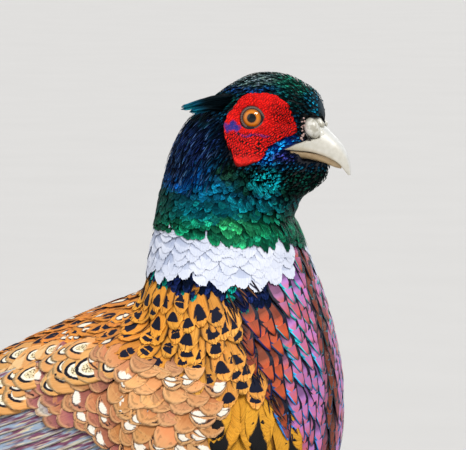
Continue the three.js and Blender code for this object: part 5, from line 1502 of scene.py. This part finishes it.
def wings():
    for name, side in SIDES:
        tiers = [flight_tier(k, side) for k in range(len(FLIGHT_TIERS))]
        join(f"wing_flight_{name}", tiers[:GREATER_TIER], M_FLIGHT, (f"wing_{name}",))
        join(f"wing_greater_{name}", tiers[GREATER_TIER:], M_GREATER)

        draw = np.random.default_rng(92 + side)
        turns = (0.6, 1.95) if side > 0 else (-1.95, -0.6)
        a, th, n = scatter(skin, (-10, 106), 5.5, on_coverts, 90 + side, turns)
        front = smooth(a, 76, 96)
        size = (1.0 + 0.3 * (1 - smooth(a, 20, 70))) * (0.85 + 0.3 * draw.random(n))
        made = lay(skin, a, th, COVERT, 15.5 * size, 5.1 * size, (-1.0 - 0.8 * front, 1.0 - 0.1 * front),
                   0.1 + around_zero(n, 0.4, draw), 0.2, bulge=wing_bulge, crinkle=0.08)
        pink = np.clip(0.8 - smooth(a, 30, 80) * 0.6 + around_zero(n, 0.7, draw), 0, 1)
        fore = smooth(a, 62, 84) * (0.3 + 0.7 * draw.random(n))
        tip = mixed(fore, mixed(pink, "#e2a868", "#c07a66"), "#f4c080")
        base = mixed(fore, mixed(pink, "#b06c3c", "#7c3e56"), "#cc8850")
        # the lowest and rearmost ones turn grey-blue and cream
        far = (1 - smooth(a, 36, 58)) * smooth(angle_of(th), 58, 72)
        grey = (far > draw.random(n)) & (draw.random(n) < 0.3)
        tip = mixed(grey, tip, mixed(draw.random(n), "#ece0c8", "#9db0c6"))
        base = mixed(grey, base, mixed(draw.random(n), "#56647a", "#743a58"))
        white = draw.random(n) < 0.5 - 0.15 * fore
        tints = {"tip": vary(tip, 0.18, 95), "base": vary(base, 0.25, 96)}
        join(f"wing_coverts_{name}", [block(COVERT, made, a, th, 94, tints, white=white)], M_COVERT)

        turns = (0.4, 1.1) if side > 0 else (-1.1, -0.4)
        a, th, n = scatter(skin, (-40, 100), 8.0, on_scapulars, 100 + side, turns)
        size = 0.85 + 0.3 * draw.random(n)
        made = lay(skin, a, th, COVERT, 25.0 * size, 8.0 * size, (-1.6, 2.0 - 1.3 * smooth(a, 60, 84)),
                   -0.05 + around_zero(n, 0.35), 0.2, bulge=wing_bulge, crinkle=0.08)
        tints = {"tip": vary(plain(n, "#e6ac6a"), 0.1, 103), "base": vary(plain(n, "#c88a48"), 0.12, 104)}
        join(f"scapulars_{name}", [block(COVERT, made, a, th, 102, tints)], M_SCAPULAR)


wings()

# The tail
TAIL_ROOT_X, TAIL_ROOT_Z, TAIL_PITCH = -150.0, 155.0, 4 * DEG
TAIL_LENGTHS = [490, 430, 362, 300, 248, 205, 170, 140, 116]
TAIL_CENTRES = [5, 13, 16, 18.5, 20.8, 22.8, 24.6, 26.2, 27.6]
TAIL_COVERTS = 70


def in_tail(along, across, up):
    c, s = np.cos(TAIL_PITCH), np.sin(TAIL_PITCH)
    along, across, up = np.broadcast_arrays(along, across, up)
    return np.stack([TAIL_ROOT_X - along * c - up * s, across, TAIL_ROOT_Z - along * s + up * c], -1)


def tail_feathers():
    made, dice = [], []
    for k, (length, centre) in enumerate(zip(TAIL_LENGTHS, TAIL_CENTRES)):
        for _, side in SIDES:
            share = k / (len(TAIL_LENGTHS) - 1)
            level = 3.8 - 1.2 * (k - (0.9 if k == 0 and side > 0 else 0))
            u, v = (grid[0] for grid in TAIL_SHAPE.grid(1, rng))
            along = length * v
            closing = 1 - 0.3 * share * v if k else 1 - v * 0.5
            across = side * centre * lerp(0.5, 1.0, np.minimum(1, along / 60)) * closing
            across = across + u * lerp(14.5, 8.5, share)
            up = level - 0.005 * across ** 2 + 0.5 * (1 - TAIL_SHAPE.cols[None, :] ** 2)
            made.append(in_tail(along, across, up))
            dice.append(k * 0.13 + (side > 0) * 0.05)
    n, made = len(made), np.array(made)
    tints = {"tip": vary(plain(n, "#b89c68"), 0.08, 110), "base": vary(plain(n, "#8c7448"), 0.1, 111)}
    centres = bake_place(np.full(n, BODY_REAR), np.linspace(-1, 1, n))
    blocks = [(TAIL_SHAPE, made, centres, {"dice": np.array(dice)}, tints, np.ones(n))]
    layers = join("tail_feathers", blocks, M_TAIL, ("tail",)).data.uv_layers
    # each tail feather has its own strip of the bake map
    uv = np.zeros(len(layers["Feather"].data) * 2, np.float32)
    layers["Feather"].data.foreach_get("uv", uv)
    uv = uv.reshape(-1, 2)
    strip = np.repeat(np.arange(n), len(TAIL_SHAPE.loops))
    out = np.stack([(strip + 0.05 + 0.9 * uv[:, 0]) / n, 0.02 + 0.96 * uv[:, 1]], -1)
    layers["OFBake"].data.foreach_set("uv", out.astype(np.float32).ravel())


def tail_coverts():
    """Soft feathers over and under the root of the tail."""
    draw = np.random.default_rng(112)
    n = TAIL_COVERTS
    turn, reach = draw.random(n) * 2 * np.pi, draw.random(n)
    c, s, along = np.cos(turn), np.sin(turn), -8 + 60 * reach
    across, up = (17 + 4 * np.sin(np.pi * reach)) * c, np.where(s > 0, 8.5, 11.0) * s - 1.5
    out_way = unit(in_tail(np.zeros(n), across / 3, up) - in_tail(0.0, 0.0, 0.0))
    length = 44 + 16 * draw.random(n)
    tip = in_tail(along + length, across * 1.08, up * (1 - 0.3 * reach) + 0.8 * s)
    points = lay_line(in_tail(along, across, up) - out_way, tip, out_way, 6.5, COVERT, 1.6, draw)
    over, under = mixed(draw.random(n), "#8a9a88", "#a8683c"), mixed(draw.random(n), "#5a3c24", "#7a4a28")
    tints = {"tip": vary(mixed(s > 0, under, over), 0.2, 114), "base": mixed(s > 0, "#24160e", "#4a4a38")}
    th = np.where(c > 0, 1, -1) * (np.pi / 2 - np.arcsin(s))
    join("tail_coverts", [block(COVERT, points, np.full(n, -170.0), th, 113, tints)], M_SOFT)


tail_feathers()
tail_coverts()

# The legs
FOOT_Z, FOOT_Y = 7.0, 33.0
LEGS = (("left", 1, 4.0), ("right", -1, -14.0))
# share of the way down, half depth, half width
THIGH = np.array([
    [-0.1, 17, 11], [0.1, 29, 18.5], [0.36, 28, 19], [0.56, 21, 15.5], [0.76, 13, 10.5], [0.92, 7.4, 6.6],
    [1, 5, 4.6],
])
SHANK = np.array([
    [0, 5.4, 4.9], [0.05, 5.8, 5.2], [0.12, 5, 4.2], [0.3, 4, 3.3], [0.6, 3.7, 3.2], [0.85, 4, 3.8],
    [0.95, 4.8, 4.8], [1, 4.6, 4.8],
])
# name, degrees outward, length, half thickness at root and tip, number of pads, length of the claw
TOES = [
    ("inner", 30, 36, 3.6, 2.5, 2, 10.0), ("middle", 2, 51, 3.9, 2.6, 3, 10.0),
    ("outer", -30, 38, 3.6, 2.4, 3, 10.0), ("hind", 172, 13, 2.7, 2.1, 1, 8.0),
]
# turn taken by one small scale, where a toe leaves the foot, and how far up the shank the spur stands
SCALE_TURN, TOE_START, SPUR_UP = 0.55, 4.6, 20


def limb_frame(direction):
    """The ways forward and across of a limb that runs in a direction."""
    ahead = unit(direction)
    across = unit(np.array([0, 1.0, 0]) - ahead * ahead[1])
    return np.cross(across, ahead), across


def oval(centre, one, other, half_one, half_other, turn):
    """Points round centres, with half sizes measured in two ways."""
    c, s = half_one * np.cos(turn), half_other * np.sin(turn)
    return centre + one * c[..., None] + other * s[..., None]


def leg_material():
    d = Draw("leg_scales", 0.5)
    plate, grain = d.number("plate"), d.noise(d.space(), 700, 4)
    colour = d.mix((plate * 0.85 + grain * 0.35 - 0.1).clamp(), "#3a3630", "#a39d90")
    return d.finish(colour, grain, 0.3, 0.0003)


def claw_material():
    d = Draw("claw_horn", 0.35)
    grain = d.noise(d.space(), 900, 4)
    colour = d.mix(d.number("tipness") * 0.6, d.mix(grain, "#1c1713", "#5c5245"), "#8a7f6c")
    return d.finish(colour, grain, 0.3, 0.0002)


def scutes(along, turn, big, small):
    """Height of overlapping plates in front, small ones behind, for distances along a limb in mm."""
    front = smooth(np.cos(turn), -0.1, 0.35)
    f = (along / big) % 1.0
    plate = smooth(f, 0.0, 0.12) * (1 - 0.35 * f)
    g = (along / small + 0.5 * (np.floor(turn / SCALE_TURN) % 2)) % 1.0
    h = (turn / SCALE_TURN) % 1.0
    net = np.minimum(smooth(np.sin(np.pi * g), 0.05, 0.5), smooth(np.sin(np.pi * h), 0.05, 0.5))
    return front * plate + (1 - front) * net * 0.8


def shank(name, knee, hock, foot, scaly):
    rows, around, blur = 190, 56, 13
    t, turn = np.linspace(0, 1, rows), turns_of(around)

    def softened(k):
        table = np.pad(np.interp(t, SHANK[:, 0], SHANK[:, k]), blur // 2, mode="edge")
        return np.convolve(table, np.ones(blur) / blur, "valid")
    fore, wide = softened(1), softened(2)
    T, A = np.meshgrid(turn, t)
    plate = scutes(A * np.linalg.norm(foot - hock), T, 4.6, 2.4)
    swell = 0.42 * (plate - 0.5)
    down = hock + (foot - hock) * A[..., None]
    rings = oval(down, *limb_frame(foot - hock), fore[:, None] + swell, wide[:, None] + swell, T)
    # the first rings turn from the thigh's direction into the shank's
    upward, lead = unit(knee - hock), []
    for k in np.linspace(0, 1, 8)[:-1]:
        front, across = limb_frame(lerp(-upward, unit(foot - hock), k))
        centre = hock + upward * 9 * (1 - k)
        lead.append(oval(centre, front, across, lerp(4.4, 5.4, k), lerp(4.2, 4.9, k), turn))
    number = np.concatenate([np.full(len(lead) * around, 0.6), plate.ravel(), [0.5, 0.5]])
    faces = tube(np.concatenate([np.array(lead), rings]))
    make_mesh(f"shank_scaled_{name}", faces, scaly, (f"shank_{name}",), {"plate": number})


def cone(name, horn, line, one, other, halves, t, around, replaced):
    """A horn that narrows along a line. halves are its half sizes measured in two ways."""
    T = np.broadcast_to(turns_of(around), (len(t), around))
    rings = oval(line[:, None], one, other, halves[0][:, None], halves[1][:, None], T)
    marks = {"tipness": np.append(np.repeat(t, around), [0, 1])}
    make_mesh(name, tube(rings), horn, (replaced,), marks)


def toe(name, side, foot, scaly, horn, kind, outward, reach, root, tip, pads, claw):
    angle = side * (6 - outward) * DEG
    way = np.array([np.cos(angle), np.sin(angle), 0])
    sideways = np.array([-way[1], way[0], 0])
    rows, around = 90, 36
    t = np.linspace(0, 1, rows)
    low = lerp(root, tip, t)
    thick = low * (1 + 0.12 * np.sin(np.pi * pads * t * 1.98 - 0.6))
    high = lerp(FOOT_Z - 1, low * 0.86, np.minimum(1, t * 2.4) ** 0.8)
    centre = foot * [1, 1, 0] + way * lerp(TOE_START, reach, t)[:, None] + UP * high[:, None]
    T, A = np.meshgrid(turns_of(around), t)
    round_off = np.sqrt(np.clip(1 - (np.clip((A - 0.93) / 0.07, 0, 1)) ** 2, 0.12, 1))
    plate = scutes(A * reach, T - np.pi / 2, 3.0, 1.9)
    r = thick[:, None] * round_off + 0.28 * (plate - 0.5)
    rings = oval(centre[:, None], sideways, UP, r, r, T)
    rings[..., 2] = np.maximum(rings[..., 2], 0.02)
    marks = {"plate": np.append(plate.ravel(), [0.5, 0.5])}
    make_mesh(f"toe_scaled_{kind}_{name}", tube(rings), scaly, (f"toe_{kind}_{name}",), marks)

    t, start = np.linspace(0, 1, 26), centre[-1]
    half = (1 - t) ** 0.8 * tip * 0.62 + 0.2
    line = start + way * (claw * t + 0.2)[:, None]
    z = start[2] + 0.6 + 1.1 * np.sin(np.pi * t * 0.8) - t * (start[2] - 0.2)
    line[:, 2] = np.maximum(z, half + 0.05)
    halves = 0.8 * half, half
    cone(f"claw_horn_{kind}_{name}", horn, line, sideways, UP, halves, t, 24, f"claw_{kind}_{name}")


def spur(name, side, hock, foot, horn):
    t = np.linspace(0, 1, 30)
    start = foot + unit(hock - foot) * SPUR_UP + np.array([-1.5, -side * 0.8, 0])
    way = np.array([-13.0, -side * 3.5, -3.0])
    line = start + way * t[:, None] + 2.2 * UP * (t * t)[:, None]
    half = 3.1 * (1 - t) ** 0.8 + 0.25
    halves = half, 0.87 * half
    cone(f"spur_horn_{name}", horn, line, *limb_frame(way), halves, t, 28, f"spur_{name}")


def thigh(name, side, knee, hock):
    down = hock - knee
    frame_, span = limb_frame(down), np.linalg.norm(down)

    def place(a, th):
        t = -np.asarray(a) / span
        fore, wide = (np.interp(t, THIGH[:, 0] * 0.93, THIGH[:, k]) for k in (1, 2))
        return oval(knee + down * t[..., None], *frame_, fore, wide, th)

    def everywhere(a, th):
        return np.ones(np.broadcast(a, th).shape, bool)
    a, th, n = scatter(place, (-0.9 * span, 0.06 * span), 4.6, everywhere, 120 + side)
    size = np.interp(-a / span, [0, 0.9], [1.0, 0.5])
    made = lay(place, a, th, FRINGED, 17.0 * size, 3.9 * size, (-2.2, 0.2), around_zero(n, 0.4), 0.15)
    tip, base = mixed(rng.random(n), "#4a3424", "#6e5034"), mixed(rng.random(n), "#140e0a", "#22180f")
    join(f"coat_thigh_{name}", [block(FRINGED, made, a, th, 122, {"tip": tip, "base": base})], M_SOFT)
    A, T = np.meshgrid(np.linspace(-0.92 * span, 0.09 * span, 40), turns_of(48), indexing="ij")
    d = Draw(f"skin_thigh_{name}", 0.85)
    pores = d.noise(d.space(), 900, 3)
    material = d.finish(d.mix(pores, "#120c08", "#2c2016"), pores, 0.4, 0.0003)
    faces = tube(lifted(place, A, T, np.full(A.shape, -2.0)))
    make_mesh(f"skin_thigh_{name}", faces, material, (f"thigh_{name}",))


def legs():
    horn, scaly = claw_material(), leg_material()
    for name, side, foot_x in LEGS:
        knee = np.array([12 + 0.4 * foot_x, side * 35, 150.0])
        hock, foot = np.array([foot_x - 20, side * FOOT_Y, 84.0]), np.array([foot_x, side * FOOT_Y, FOOT_Z])
        shank(name, knee, hock, foot, scaly)
        for row in TOES:
            toe(name, side, foot, scaly, horn, *row)
        spur(name, side, hock, foot, horn)
        thigh(name, side, knee, hock)


legs()


# Floor, light and camera
def floor():
    d = Draw("pale_floor", 0.8)
    material = d.finish(d.mix(d.noise(d.space(), 9, 4), "#bab8b4", "#c0beba"))
    mesh = bpy.data.meshes.new("floor_plain")
    size = 40
    corners = [(-size, -size, 0), (size, -size, 0), (size, size, 0), (-size, size, 0)]
    mesh.from_pydata(corners, [], [(0, 1, 2, 3)])
    mesh.materials.append(material)
    made = bpy.data.objects.new("floor_plain", mesh)
    bpy.context.scene.collection.objects.link(made)


def lamp(name, way, power, spread, colour=(1, 1, 1)):
    """A broad even light that shines from the way given."""
    light = bpy.data.lights.new(name, "SUN")
    light.energy, light.angle, light.color = power, spread * DEG, colour
    made = bpy.data.objects.new(name, light)
    made.rotation_euler = Vector(way).to_track_quat("Z", "Y").to_euler()
    bpy.context.scene.collection.objects.link(made)


EYE = Vector(to_row(turned(eye_centre(-1))))
AZIMUTH, ELEVATION, DISTANCE = 27 * DEG, 5 * DEG, 2.5
# pixels of the photograph: per millimetre, its width, its middle and the eye in it
PIXELS_PER_MM, FRAME_WIDE, MIDDLE, EYE_PIXEL = 2.1, 466, (233, 225), (254, 118)
SENSOR = 36


def camera():
    level = np.cos(ELEVATION)
    back = Vector((np.sin(AZIMUTH) * level, -np.cos(AZIMUTH) * level, np.sin(ELEVATION)))
    right = Vector((np.cos(AZIMUTH), np.sin(AZIMUTH), 0))
    aside = (EYE_PIXEL[0] - MIDDLE[0]) / PIXELS_PER_MM / 1000
    below = (MIDDLE[1] - EYE_PIXEL[1]) / PIXELS_PER_MM / 1000
    data = bpy.data.cameras.new("camera_photo")
    data.sensor_width = SENSOR
    data.lens = PIXELS_PER_MM * 1000 * SENSOR * DISTANCE / FRAME_WIDE
    data.clip_end = 200
    made = bpy.data.objects.new("camera_photo", data)
    made.location = EYE - right * aside - back.cross(right) * below + back * DISTANCE
    made.rotation_euler = back.to_track_quat("Z", "Y").to_euler()
    bpy.context.scene.collection.objects.link(made)
    bpy.context.scene.camera = made


def light():
    bpy.context.scene.view_settings.view_transform = "Standard"
    world = bpy.data.worlds.new("studio")
    world.use_nodes = True
    world.node_tree.nodes["Background"].inputs[0].default_value = (0.86, 0.9, 1.0, 1)
    world.node_tree.nodes["Background"].inputs[1].default_value = 0.46
    bpy.context.scene.world = world
    lamp("key", (1.2, -1.2, 1.5), 2.8, 20, (1, 0.98, 0.95))
    lamp("fill", (-1.2, -2.0, 0.8), 0.6, 50, (0.93, 0.96, 1))
    lamp("top", (-0.4, 0.2, 2.0), 1.0, 40)
    lamp("rim", (0.1, 1.8, 0.8), 0.7, 30)


floor()
camera()
light()
